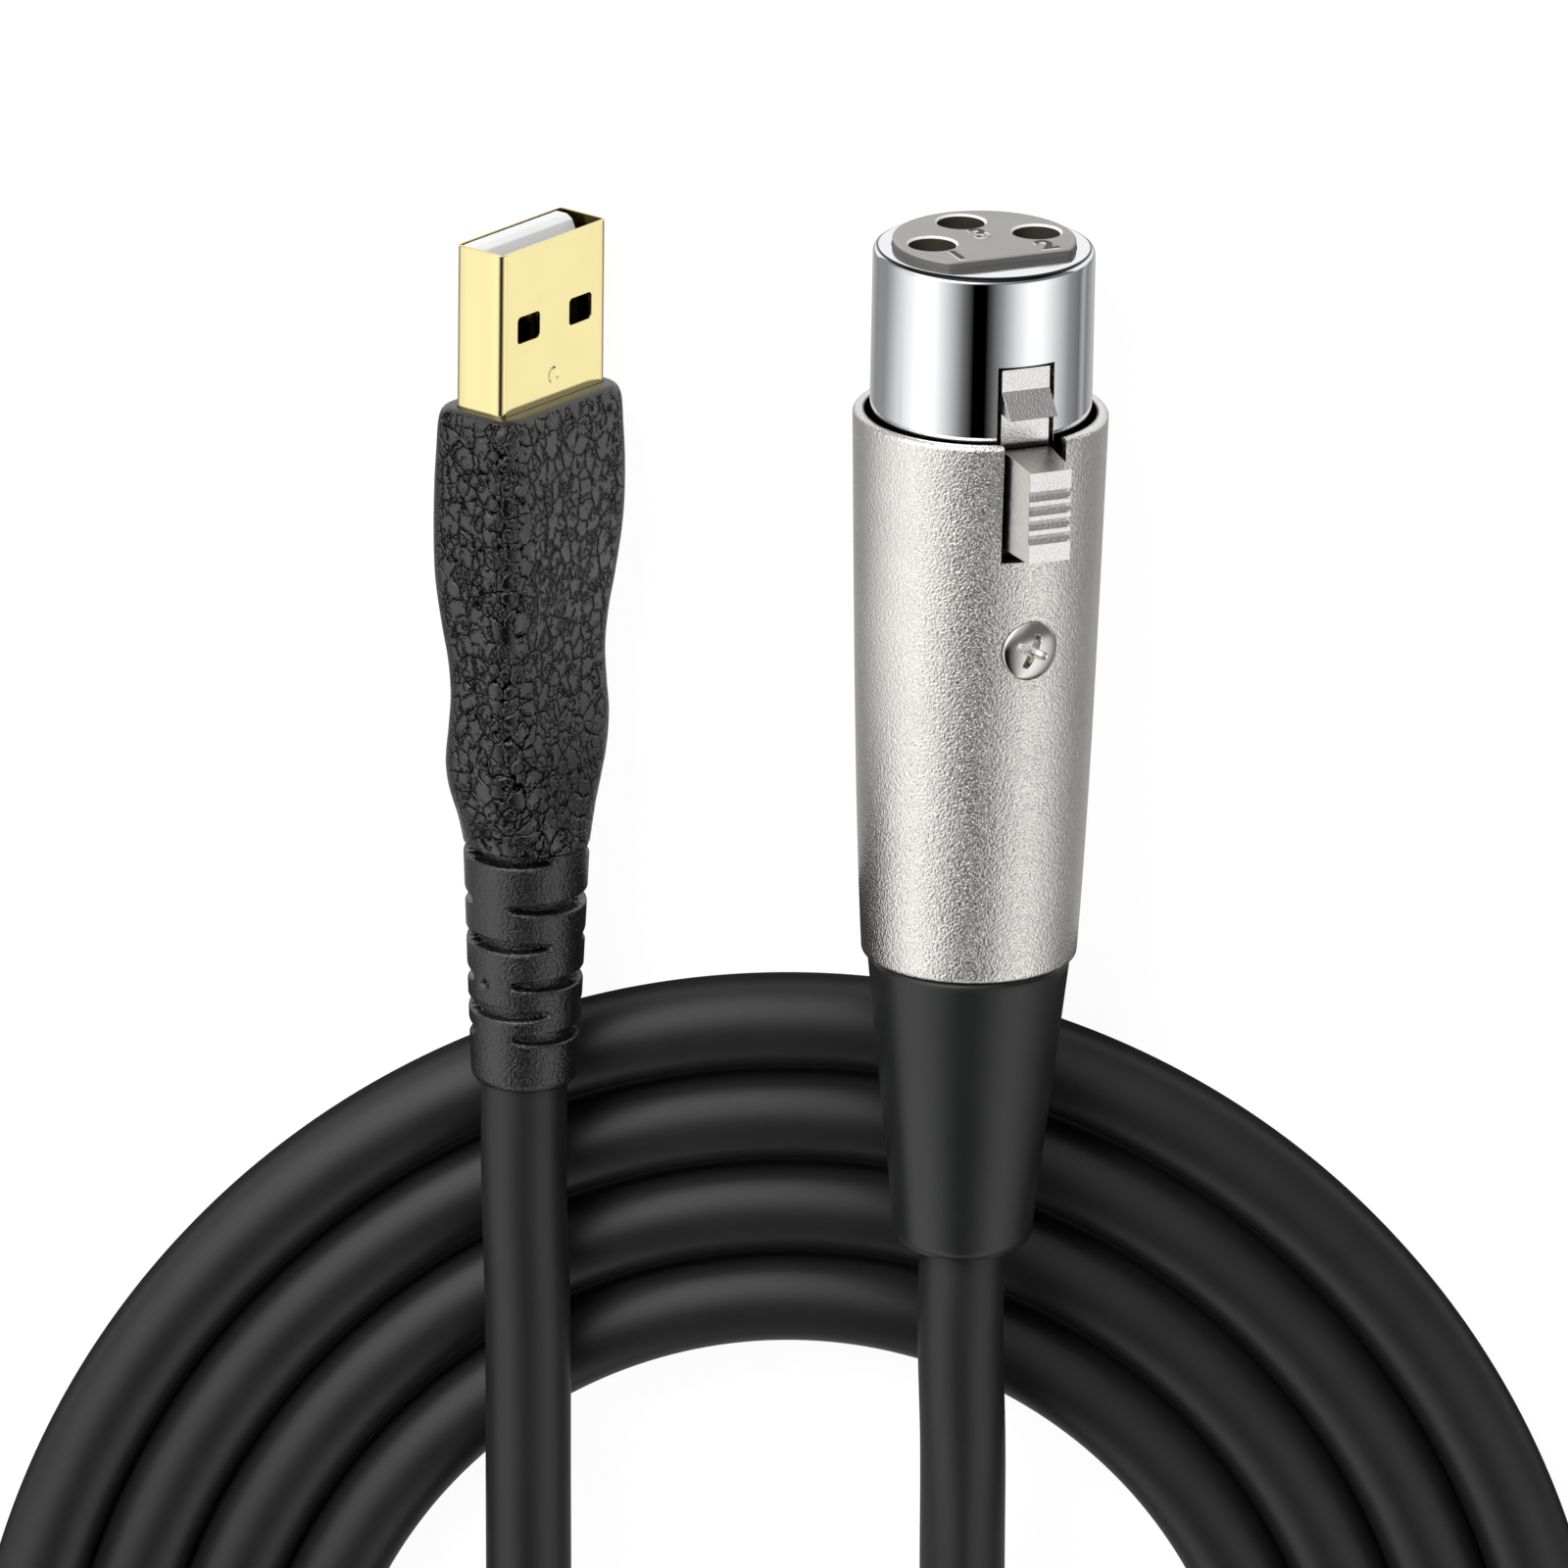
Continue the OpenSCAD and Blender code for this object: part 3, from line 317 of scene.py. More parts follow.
LATCH_TURN, SCREW_TURN, USB_TURN = 24, 26, 50.9
XLR = connector("xlr_nose", LATCH_TURN)
SCREW = connector("xlr_nose", SCREW_TURN)
USB = connector("usb_plug", USB_TURN)


def put(points, seat):
    """Points (w, u, s) in millimetres to the row frame in metres."""
    return seat[0] + MM * np.asarray(points, float) @ seat[1]


NOSE_R, NOSE_WALL, NOSE_LEN, RIM_ROUND = 8.1, 0.9, 24, 0.5
WINDOW_S, WINDOW_W = 6.8, 4.5
BOSS_R, BOSS_FLAT, BOSS_H = 6.7, 4.6, 0.6
HOLE_R, HOLE_PLACE = 1.75, 4.15
SLEEVE_S, SLEEVE_LEN, SLEEVE_R1, SLEEVE_R2, LIP_R = 12.4, 41.7, 9.35, 7.9, 0.45
SLOT_W, SLOT_LEN = 5, 9
SLEEVE_END = SLEEVE_S + SLEEVE_LEN
BOOT_END = SLEEVE_END + 22.6
SCREW_S, SCREW_HEAD_R = 28.3, 2.15
ARM_W, ARM_IN, ARM_OUT, HOOK_S, HOOK_END, HOOK_U = 3.8, 6.6, 7.75, 8.7, 10.5, 9.3
THUMB_S, THUMB_FACE_S, THUMB_END, THUMB_W, THUMB_U = 13, 13.5, 20.4, 3.3, 12.45
PIVOT_S, PIVOT_U, HUB_R = 25.5, 6.2, 1.1
USB_W, USB_T, USB_WALL, USB_CORNER, USB_SHOW = 12, 4.5, 0.3, 0.6, 12.4
GRIP_LEN, GRIP_W, GRIP_T = 34.2, 14.6, 8.6
RELIEF_S, RELIEF_LEN, RELIEF_R1, RELIEF_R2 = 46.7, 18.6, 4.65, 3.95
USB_END = RELIEF_S + RELIEF_LEN
CORD_D = 6.3

# The dressed insert's own sizes: its bevel is narrower than the solid's, and it ends earlier.
BOSS_BEVEL, BOSS_GAP, CHAMFER, INSERT_END = 0.16, 0.05, 0.16, 11

# ---------------------------------------------------------------- surfaces


def quads(rows, m):
    """Corner numbers of the quads of a grid that runs round, as an array (rows, m, 4)."""
    i, j = np.meshgrid(np.arange(rows), np.arange(m), indexing="ij")
    nxt = (j + 1) % m
    return np.stack([i * m + j, i * m + nxt, (i + 1) * m + nxt, (i + 1) * m + j], -1)


def wall(outer, inner, keep=None):
    """A closed wall between two grids that run round: both sides, and edges where it ends.

    Row i and column j of one grid lie opposite those of the other. keep says which quads stay.
    """
    n, m = outer.shape[:2]
    keep = np.ones((n - 1, m), bool) if keep is None else keep
    q = quads(n - 1, m)
    size = n * m
    faces = [q[keep], size + q[keep][:, ::-1]]
    edge = np.zeros((1, m), bool)
    neighbours = [
        (np.vstack([edge, keep[:-1]]), 0, 1), (np.roll(keep, -1, 1), 1, 2),
        (np.vstack([keep[1:], edge]), 2, 3), (np.roll(keep, 1, 1), 3, 0),
    ]
    for beside, a, b in neighbours:
        ends = q[keep & ~beside]
        faces.append(np.stack([ends[:, b], ends[:, a], size + ends[:, a], size + ends[:, b]], 1))
    points = np.concatenate([outer.reshape(-1, 3), inner.reshape(-1, 3)])
    used, faces = np.unique(np.concatenate(faces), return_inverse=True)
    return points[used], faces.reshape(-1, 4).tolist()


def loft(rings, closed=True):
    """A tube through rings of points (rings, corners, 3), with flat caps at its ends."""
    n, m = rings.shape[:2]
    faces = quads(n - 1, m).reshape(-1, 4).tolist()
    if closed:
        faces += [list(range(m))[::-1], list(range((n - 1) * m, n * m))]
    return rings.reshape(-1, 3), faces


def prism(outline, half_w):
    """An outline of (s, u) carried across from -half_w to half_w."""
    s, u = np.asarray(outline, float).T
    n = len(s)
    both = [np.stack([np.full(n, w), u, s], 1) for w in (-half_w, half_w)]
    faces = [[i, (i + 1) % n, n + (i + 1) % n, n + i] for i in range(n)]
    faces += [list(range(n))[::-1], list(range(n, 2 * n))]
    return np.concatenate(both), faces


def full_turn(steps):
    """Even angles once round."""
    return np.linspace(0, 2 * math.pi, steps, endpoint=False)


def turned(r, angles, s):
    """Points at radius r and distance s, by their angles from u towards w."""
    return np.stack([r * np.sin(angles), r * np.cos(angles), s + 0 * r * angles], -1)


def revolve(profile, angles):
    """A profile of (radius, s) turned about the axis: a grid (profile, angles, 3)."""
    r, s = np.asarray(profile, float).T
    return turned(r[:, None], angles, s[:, None])


def straight(r, s):
    """Points of a profile (radius, s) along distances s."""
    return np.stack([r + 0 * s, s], 1)


def arc(centre, radius, start, end, steps):
    """Points of an arc (radius, s) round a centre, by angles from the radius's direction."""
    a = np.radians(np.linspace(start, end, steps))
    return np.stack([centre[0] + radius * np.cos(a), centre[1] + radius * np.sin(a)], 1)


def mend(mesh, near=1e-7):
    """Joins doubled corners and turns the normals outwards."""
    tidy = bmesh.new()
    tidy.from_mesh(mesh)
    bmesh.ops.remove_doubles(tidy, verts=tidy.verts, dist=near)
    bmesh.ops.recalc_face_normals(tidy, faces=tidy.faces)
    tidy.to_mesh(mesh)
    tidy.free()


def read(items, key):
    """A three-number property of a mesh's items, as an array (items, 3)."""
    values = np.empty(3 * len(items))
    items.foreach_get(key, values)
    return values.reshape(-1, 3)


def round_edges(made, width, segments, angle, clamp=True):
    """Rounds the edges of a piece that are sharper than an angle."""
    rounding = made.modifiers.new("rounding", "BEVEL")
    rounding.width = width * MM
    rounding.segments = segments
    rounding.limit_method = "ANGLE"
    rounding.angle_limit = math.radians(angle)
    rounding.harden_normals = True
    rounding.use_clamp_overlap = clamp


def piece(name, parts, seat, material, stands_for=(), body="cable", sharp=38, bevel=0,
          segments=3, clamp=True):
    """One piece from its closed parts: joined, with normals outwards and smooth shading."""
    points, faces, first = [], [], 0
    for part_points, part_faces in parts:
        points.append(put(part_points, seat) if seat else part_points)
        faces += [[first + k for k in face] for face in part_faces]
        first += len(part_points)
    mesh = bpy.data.meshes.new(name)
    mesh.from_pydata(np.concatenate(points).tolist(), [], faces)
    mend(mesh)
    mesh.materials.append(material)
    made = new_object(name, mesh)
    mesh.shade_smooth()
    mesh.set_sharp_from_angle(angle=math.radians(sharp))
    if bevel:
        round_edges(made, bevel, segments, sharp, clamp)
    if stands_for:
        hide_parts(*stands_for)
    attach(made, body)
    return made


OPENING_STEPS, REST_STEPS = 24, 216


def split_angles(half_w, radius):
    """Angles round a wall at each radius, with two columns kept at half_w on each side of u.

    The first columns span the opening, from -half_w to half_w, and the others go round.
    """
    edge = np.arcsin(half_w / np.asarray(radius, float))[..., None]
    span = np.linspace(-1, 1, OPENING_STEPS + 1)
    rest = np.linspace(0, 1, REST_STEPS + 1)[1:-1]
    return np.concatenate([edge * span, edge + (2 * math.pi - 2 * edge) * rest], -1)


# ---------------------------------------------------------------- finishes


def node_group(name, inputs, outputs):
    """An empty shader node group with named inputs, (name, kind, value), and outputs."""
    group = bpy.data.node_groups.new(name, "ShaderNodeTree")
    for title, kind, value in inputs:
        socket = group.interface.new_socket(title, in_out="INPUT", socket_type="NodeSocket" + kind)
        if value is not None:
            socket.default_value = value
    for title, kind in outputs:
        group.interface.new_socket(title, in_out="OUTPUT", socket_type="NodeSocket" + kind)
    return group, group.nodes.new("NodeGroupInput"), group.nodes.new("NodeGroupOutput")


def make_haze():
    """Roughness that wanders: a broad handled haze and a fine one."""
    group, given, out = node_group(
        "handled_haze",
        [("Roughness", "Float", 0.3), ("Amount", "Float", 0.1), ("Scale", "Float", 120)],
        [("Roughness", "Float")])
    place, scale = own_place(group), given.outputs["Scale"]
    broad = add(group, "TexNoise", Detail=4, Vector=place, Scale=scale)
    fine = add(group, "TexNoise", Detail=2, Vector=place, Scale=times(group, scale, 14))
    both = math_node(group, "ADD", broad.outputs[0], fine.outputs[0])
    swing = times(group, math_node(group, "SUBTRACT", both, 1), given.outputs["Amount"])
    rough = math_node(group, "ADD", given.outputs["Roughness"], swing, clamp=True)
    feed(group, out.inputs["Roughness"], rough)
    return group


def bump_out(group, given, out, height):
    """Gives a group its normal, from a height counted in its own depth."""
    bump = add(group, "Bump", Height=height, Distance=times(group, given.outputs["Depth"], MM),
               Strength=given.outputs["Strength"])
    feed(group, out.inputs["Normal"], bump.outputs[0])


def make_pebble():
    """A fine blasted or moulded skin: rounded worms of noise in two sizes, as a normal."""
    group, given, out = node_group(
        "pebbled_skin",
        [("Scale", "Float", 3000), ("Depth", "Float", 0.03), ("Strength", "Float", 1)],
        [("Normal", "Vector")])
    place, scale = own_place(group), given.outputs["Scale"]
    coarse = add(group, "TexNoise", Detail=1.5, Vector=place, Scale=scale)
    fine = add(group, "TexNoise", Detail=1, Vector=place, Scale=times(group, scale, 2.3))
    bump_out(group, given, out,
             math_node(group, "MULTIPLY_ADD", fine.outputs[0], 0.35, coarse.outputs[0]))
    return group


def make_crackle():
    """A crackled leather grain: wandering, broken cracks in two sizes with sloping sides."""
    group, given, out = node_group(
        "crackled_grain",
        [("Scale", "Float", 800), ("Depth", "Float", 0.1), ("Strength", "Float", 1)],
        [("Normal", "Vector"), ("Crack", "Float")])
    place = own_place(group)

    def noise(scale, detail=2):
        return add(group, "TexNoise", Scale=scale, Detail=detail, Vector=place).outputs

    away = add(group, "VectorMath", operation="MULTIPLY_ADD")
    for socket, value in zip(away.inputs, (noise(1500, 3)["Color"], (0.7 * MM,) * 3, place)):
        feed(group, socket, value)
    drawn = add(group, "Mapping", Scale=(1, 0.75, 1), Vector=away.outputs[0]).outputs[0]
    cores, walls = [], []
    for ratio, core, slope in ((1, 0.06, 0.17), (1.7, 0.065, 0.19)):
        edges = add(group, "TexVoronoi", feature="DISTANCE_TO_EDGE", Vector=drawn,
                    Scale=times(group, given.outputs["Scale"], ratio))
        cores.append(fade(group, edges.outputs["Distance"], 0.3 * core, core, 1, 0))
        walls.append(fade(group, edges.outputs["Distance"], 0, slope, 1, 0))
    # Cracks come and go in patches: the small ones more than the large ones.
    here = [fade(group, noise(1300)[0], 0.36, 0.44),
            fade(group, noise(700)[0], 0.49, 0.57)]
    core, slope = (most(group, *[times(group, v, h) for v, h in zip(pair, here)])
                   for pair in (cores, walls))
    bump_out(group, given, out, math_node(group, "MULTIPLY_ADD", noise(5200, 1)[0], 0.07,
                                          times(group, slope, -1)))
    feed(group, out.inputs["Crack"], times(group, core, given.outputs["Strength"]))
    return group


HAZE, PEBBLE, CRACKLE = make_haze(), make_pebble(), make_crackle()


def finish(name, color, roughness, haze=0.06, metal=0, skin=None, tint=0.12, haze_scale=120,
           coat=0, ior=1.5):
    """A material whose colour wanders a little and whose roughness has haze.

    skin is its grain: a group, and the group's scale and depth.
    """
    material = bpy.data.materials.new(name)
    material.use_nodes = True
    tree = material.node_tree
    shader = tree.nodes["Principled BSDF"]
    given = {"Metallic": metal, "IOR": ior}
    if coat:
        given |= {"Coat Weight": coat, "Coat Roughness": 0.15}
    for key, value in given.items():
        shader.inputs[key].default_value = value
    cloud = add(tree, "TexNoise", Scale=haze_scale * 2, Detail=3, Vector=own_place(tree))
    base = ramp(tree, cloud.outputs[0], [(at, [min(1, c * scale) for c in color]) for at, scale in
                                         ((0.3, 1 - tint), (0.7, 1 + tint))])
    hazed = add(tree, "Group", node_tree=HAZE, Roughness=roughness, Amount=haze, Scale=haze_scale)
    feed(tree, shader.inputs["Roughness"], hazed.outputs[0])
    if skin:
        grain = add(tree, "Group", node_tree=skin[0], Scale=skin[1], Depth=skin[2])
        feed(tree, shader.inputs["Normal"], grain.outputs["Normal"])
        if skin[0] == CRACKLE:
            # Painted shade in the cracks: black with a metal's gloss, they mirror nothing.
            base = blend_colors(tree, grain.outputs["Crack"], base, (0, 0, 0, 1))
            feed(tree, shader.inputs["Metallic"], grain.outputs["Crack"])
    feed(tree, shader.inputs["Base Color"], base)
    return material


def wire_finish(name, seat, pitch):
    """Four insulated wires side by side along w: red, white, green and black."""
    material = finish(name, (0.5, 0.5, 0.5), 0.4)
    tree = material.node_tree
    shader = tree.nodes["Principled BSDF"]
    share = math_node(tree, "ADD", along(tree, seat, 0, 0.25 / (pitch * MM)), 0.5, clamp=True)
    colors = [(0.45, 0.02, 0.015), (0.75, 0.74, 0.7), (0.02, 0.28, 0.05), (0.012, 0.012, 0.012)]
    stripes = ramp(tree, share, [(0.25 * i, color) for i, color in enumerate(colors)], "CONSTANT")
    feed(tree, shader.inputs["Base Color"], stripes)
    return material


def along(tree, seat, axis, scale=1 / MM):
    """Distance of a shaded point from a connector's mouth along one of its axes.

    It is in millimetres, or times another scale.
    """
    dot = add(tree, "VectorMath", operation="DOT_PRODUCT")
    feed(tree, dot.inputs[0], own_place(tree))
    feed(tree, dot.inputs[1], seat[1][axis])
    return math_node(tree, "MULTIPLY_ADD", dot.outputs["Value"], scale,
                     -scale * float(seat[0] @ seat[1][axis]))


def recolor(material, share, color):
    """Mixes another colour into a material's base by a share."""
    tree = material.node_tree
    base = tree.nodes["Principled BSDF"].inputs["Base Color"]
    feed(tree, base, blend_colors(tree, share, base.links[0].from_socket, (*color, 1)))
    return material


def chrome_with_painted_shade():
    """Chrome plate, a painted dark reflection under the nose's rim, painted shade in the sleeve.

    The painted reflection is widest in the middle of the upper side, and narrows by the square of
    the distance across.
    """
    material = finish("chrome_plate", (0.9, 0.91, 0.925), 0.045, 0.02, metal=1, tint=0.01)
    tree = material.node_tree
    behind = along(tree, XLR, 2)
    across = along(tree, connector("xlr_nose", 0), 0, 1 / (NOSE_R * MM))
    past = math_node(tree, "MULTIPLY_ADD", times(tree, across, across), 0.27, behind)
    # Painted dark reflection round under the rim.
    seam = times(tree, fade(tree, behind, 0.004, 0.02),
                     fade(tree, past, 0.28, 0.36, 1, 0))
    # Painted shade where the sleeve covers the nose.
    painted_sleeve_shade = fade(tree, behind, SLEEVE_S + 0.1, SLEEVE_S + 0.5)
    return recolor(material, most(tree, seam, painted_sleeve_shade), (0.02, 0.02, 0.022))


def grip_finish():
    """The grip's crackled grain, which stops short of its plain, matt front edge."""
    material = finish("grip_pvc", (0.0045, 0.0045, 0.005), 0.17, 0.05,
                      skin=(CRACKLE, 880, 0.16), ior=1.7)
    tree = material.node_tree
    grain = next(n for n in tree.nodes if n.type == "GROUP" and n.node_tree == CRACKLE)
    behind = along(tree, USB, 2)
    feed(tree, grain.inputs["Strength"], fade(tree, behind, USB_SHOW + 0.12, USB_SHOW + 0.3))
    rough = tree.nodes["Principled BSDF"].inputs["Roughness"]
    more = fade(tree, behind, USB_SHOW, USB_SHOW + 0.25, 0.12, 0)
    feed(tree, rough, math_node(tree, "ADD", rough.links[0].from_socket, more, clamp=True))
    return material


def from_axis(tree, seat):
    """Distance of a shaded point from a connector's long axis, in millimetres."""
    w, u = (along(tree, seat, k) for k in (0, 1))
    return math_node(tree, "SQRT", math_node(tree, "MULTIPLY_ADD", w, w,
                                             times(tree, u, u)))


def sleeve_finish():
    """Pebbled pearl nickel outside, and painted shade inside the bore."""
    material = finish("pearl_nickel", (0.86, 0.84, 0.81), 0.2, 0.05, metal=1,
                      skin=(PEBBLE, 5000, 0.085), tint=0.03)
    tree = material.node_tree
    # Painted shade inside the bore, near the mouth.
    bore = times(tree, fade(tree, from_axis(tree, XLR), 8.55, 8.7, 1, 0),
                     fade(tree, along(tree, XLR, 2), SLEEVE_S + 9.5, SLEEVE_S + 10, 1, 0))
    return recolor(material, bore, (0.03, 0.03, 0.03))


def latch_finish():
    """Fine blasted nickel, with painted shade where the lever runs down inside the sleeve."""
    material = finish("latch_nickel", (0.83, 0.81, 0.79), 0.17, 0.05, metal=1,
                      skin=(PEBBLE, 7000, 0.03), tint=0.03)
    tree = material.node_tree
    # Painted shade on the lever inside the sleeve.
    inside = times(tree, fade(tree, along(tree, XLR, 1), 7.9, 8.2, 1, 0),
                       fade(tree, along(tree, XLR, 2), SLEEVE_S, SLEEVE_S + 0.4))
    return recolor(material, inside, (0.04, 0.04, 0.04))


def insert_finish():
    """The insert's grey, with painted shade on the sides of its raised face."""
    material = finish("insert_grey", (0.3, 0.295, 0.28), 0.5,
                      skin=(PEBBLE, 5200, 0.006), tint=0.04)
    tree = material.node_tree
    # Painted shade on the sides of the raised face.
    side = fade(tree, along(tree, XLR, 2), -BOSS_H + 0.1, -BOSS_H + 0.2)
    return recolor(material, side, (0.1, 0.098, 0.095))


def shell_finish():
    """Gold plate outside the USB plug's shell, and painted shade, brown, inside it."""
    material = finish("gold_plate", (0.94, 0.815, 0.41), 0.12, 0.03, metal=1, tint=0.015)
    tree = material.node_tree
    # Painted shade on the shell's inner faces.
    over = [math_node(tree, "ADD", math_node(tree, "ABSOLUTE", along(tree, USB, k)),
                      USB_WALL - size / 2) for k, size in ((0, USB_W), (1, USB_T))]
    inside = fade(tree, most(tree, *over), 0.02, 0.1, 1, 0)
    return recolor(material, inside, (0.09, 0.065, 0.02))


def relief_finish():
    """Grained soft plastic, with painted shade, black, down in the slots."""
    material = finish("relief_pvc", (0.006, 0.006, 0.0065), 0.22, 0.08,
                      skin=(PEBBLE, 4200, 0.09), ior=1.7)
    tree = material.node_tree
    # The body's radius falls evenly from its front to its end.
    slope = (RELIEF_R1 - RELIEF_R2) / (RELIEF_LEN - 1)
    depth = math_node(tree, "MULTIPLY_ADD", along(tree, USB, 2), slope,
                      from_axis(tree, USB))
    depth = math_node(tree, "SUBTRACT", depth, RELIEF_R1 + slope * RELIEF_S)
    # Painted shade down in the slots.
    return recolor(material, fade(tree, depth, -0.6, -0.2, 1, 0), (0.001, 0.001, 0.001))


def tongue_finish():
    """White plastic at the mouth, with painted shade, dark olive, deep inside the shell."""
    material = finish("tongue_white", (0.8, 0.8, 0.8), 0.35, tint=0.02)
    tree = material.node_tree
    # Painted shade on the tongue deep inside the shell.
    return recolor(material, fade(tree, along(tree, USB, 2), 2.5, 4.5), (0.08, 0.07, 0.045))


CHROME = chrome_with_painted_shade()
PEARL = sleeve_finish()
LATCH_NICKEL = latch_finish()
SCREW_NICKEL = finish("screw_nickel", (0.76, 0.74, 0.71), 0.16, 0.05, metal=1, tint=0.03)
INSERT_GREY = insert_finish()
# Painted shade for the tops of the pin numbers.
DIGIT_PAINTED_SHADE = finish("digit_shade", (0.03, 0.03, 0.028), 0.55, tint=0.04)
# A pale painted highlight for the holes' chamfers and the sides of the pin numbers.
PAINTED_HIGHLIGHT = finish("insert_painted_highlight", (0.8, 0.78, 0.76), 0.4, tint=0.02)
HOLE_SHADE = finish("hole_shade", (0.03, 0.027, 0.02), 0.6, skin=(PEBBLE, 3000, 0.01))
BOOT_RUBBER = finish("boot_rubber", (0.013, 0.0135, 0.014), 0.34, 0.06, skin=(PEBBLE, 4200, 0.006))
CORD_PVC = finish("cord_pvc", (0.0105, 0.0105, 0.011), 0.44, 0.05, skin=(PEBBLE, 2600, 0.006))
GRIP_PVC = grip_finish()
RELIEF_PVC = relief_finish()
GOLD = shell_finish()
STRIP_GOLD = finish("contact_gold", (0.7, 0.56, 0.28), 0.22, metal=1, tint=0.04)
TONGUE_WHITE = tongue_finish()

# ---------------------------------------------------------------- cord


def smooth_line(points, step):
    """A cubic line through points, with slopes by its chords, at even steps along it."""
    p = np.asarray(points, float)
    t = np.r_[0, np.cumsum(np.linalg.norm(np.diff(p, axis=0), axis=1))]
    h = np.diff(t)[:, None]
    chord = np.diff(p, axis=0) / h
    inner = (chord[:-1] * h[1:] + chord[1:] * h[:-1]) / (h[1:] + h[:-1])
    slope = np.vstack([chord[:1], inner, chord[-1:]])

    def at(x):
        i = np.clip(np.searchsorted(t, x, side="right") - 1, 0, len(p) - 2)
        k = ((x - t[i]) / h[i, 0])[:, None]
        a, b = p[i], p[i + 1]
        ta, tb = slope[i] * h[i], slope[i + 1] * h[i]
        return ((2 * k**3 - 3 * k**2 + 1) * a + (k**3 - 2 * k**2 + k) * ta
                + (3 * k**2 - 2 * k**3) * b + (k**3 - k**2) * tb)

    fine = np.linspace(0, t[-1], 8 * int(t[-1] / step))
    run = np.r_[0, np.cumsum(np.linalg.norm(np.diff(at(fine), axis=0), axis=1))]
    return at(np.interp(np.linspace(0, run[-1], int(run[-1] / step) + 1), run, fine))


COIL_X, COIL_Y, COIL_OVAL, COIL_R, COIL_TURNS = 1.1, -87.9, 1.08, 35.7, 3.5
COIL_PITCH, COIL_THICK = 6.8, 6.84
COIL_INSET, COIL_EASE = 1.5, 0.06
CORD_STEPS, THICKEN_STEPS = 36, 30


def coil_points(turns):
    """The coil's line, clockwise from its inner end: half circles drawn out along y.

    Each half is wider than the last by half a pitch. The upper halves share one middle. The
    lower halves share another, half a pitch to the left of it.
    """
    half = np.floor(2 * turns)
    ease = COIL_INSET * np.maximum(0, 1 - turns / COIL_EASE) ** 2
    r = COIL_R + COIL_PITCH * (0.25 + half / 2) - ease
    a = math.pi - 2 * math.pi * turns
    return np.stack([COIL_X - COIL_PITCH / 2 * (half % 2) + r * np.cos(a),
                     COIL_Y + COIL_OVAL * r * np.sin(a), np.full_like(a, COIL_THICK / 2)], 1)


def cord_route():
    """The cord's line from the USB plug to its coil, along it, and to the XLR connector."""
    usb_exit, xlr_exit = [seat[0] / MM + end * seat[1][2]
                          for seat, end in ((USB, USB_END), (XLR, BOOT_END))]
    usb_bends = [[-18, -46, 10.2], [-18, -60, 9.6], [-18, -74, 8.6], [-18, -88, 8.8],
                 [-18, -100, 9.9], [-15.7, -113, 10], [-9, -125, 10], [1, -133.5, 10],
                 [14, -138, 10], [27, -138, 9.8], [39.5, -133.5, 7.8], [49.5, -125, 5],
                 [56, -114, 3.4]]
    xlr_bends = [[14, -55, 13], [14, -66, 9.4], [14, -77, 5.4], [14, -87, 3.4],
                 [13.2, -99, 3.2], [8.5, -110, 3.2], [-1, -117, 3.2], [-12, -118.5, 3.2],
                 [-22.5, -114.5, 3.2], [-30, -106, 3.2]]
    coil = coil_points(np.linspace(0, COIL_TURNS, int(COIL_TURNS * 72)))[::-1]
    start = np.vstack([usb_exit, usb_exit + CORD_D * USB[1][2], usb_bends])
    end = np.vstack([xlr_bends[::-1], xlr_exit + CORD_D * XLR[1][2], xlr_exit])
    return smooth_line(np.vstack([start, coil, end]), 1)


def make_cord():
    """One round cord, a little thicker where its turns press on each other in the coil."""
    line = cord_route()
    ahead = np.gradient(line, axis=0)
    ahead /= np.linalg.norm(ahead, axis=1)[:, None]
    side = np.cross(ahead, [0, 0, 1])
    side /= np.linalg.norm(side, axis=1)[:, None]
    up = np.cross(side, ahead)
    count = np.arange(len(line))
    first, last = (np.argmin(np.linalg.norm(line - end, axis=1))
                   for end in coil_points(np.array([COIL_TURNS, 0])))
    inside = np.clip(np.minimum(count - first, last - count) / THICKEN_STEPS + 1, 0, 1)
    radius = (CORD_D / 2 + (COIL_THICK - CORD_D) / 2 * inside)[:, None, None]
    a = full_turn(CORD_STEPS)[None, :, None]
    rings = line[:, None] + radius * (np.cos(a) * side[:, None] + np.sin(a) * up[:, None])
    rings[..., 2] = np.maximum(rings[..., 2], 0)
    cord = piece("cord", [loft(rings * MM)], None, CORD_PVC,
                 ("usb_tail", "cord_coil", "xlr_tail"))


# ---------------------------------------------------------------- XLR connector


def boss_radius(angles, inset=0):
    """Radius of the insert's raised face: a circle cut by a flat, with rounded corners."""
    circle = BOSS_R - inset + 0 * angles
    flat = (BOSS_FLAT - inset) / np.maximum(np.cos(angles), 0.2)
    soft = 0.22
    mixed = np.clip(0.5 + 0.5 * (circle - flat) / soft, 0, 1)
    return circle + (flat - circle) * mixed - soft * mixed * (1 - mixed)


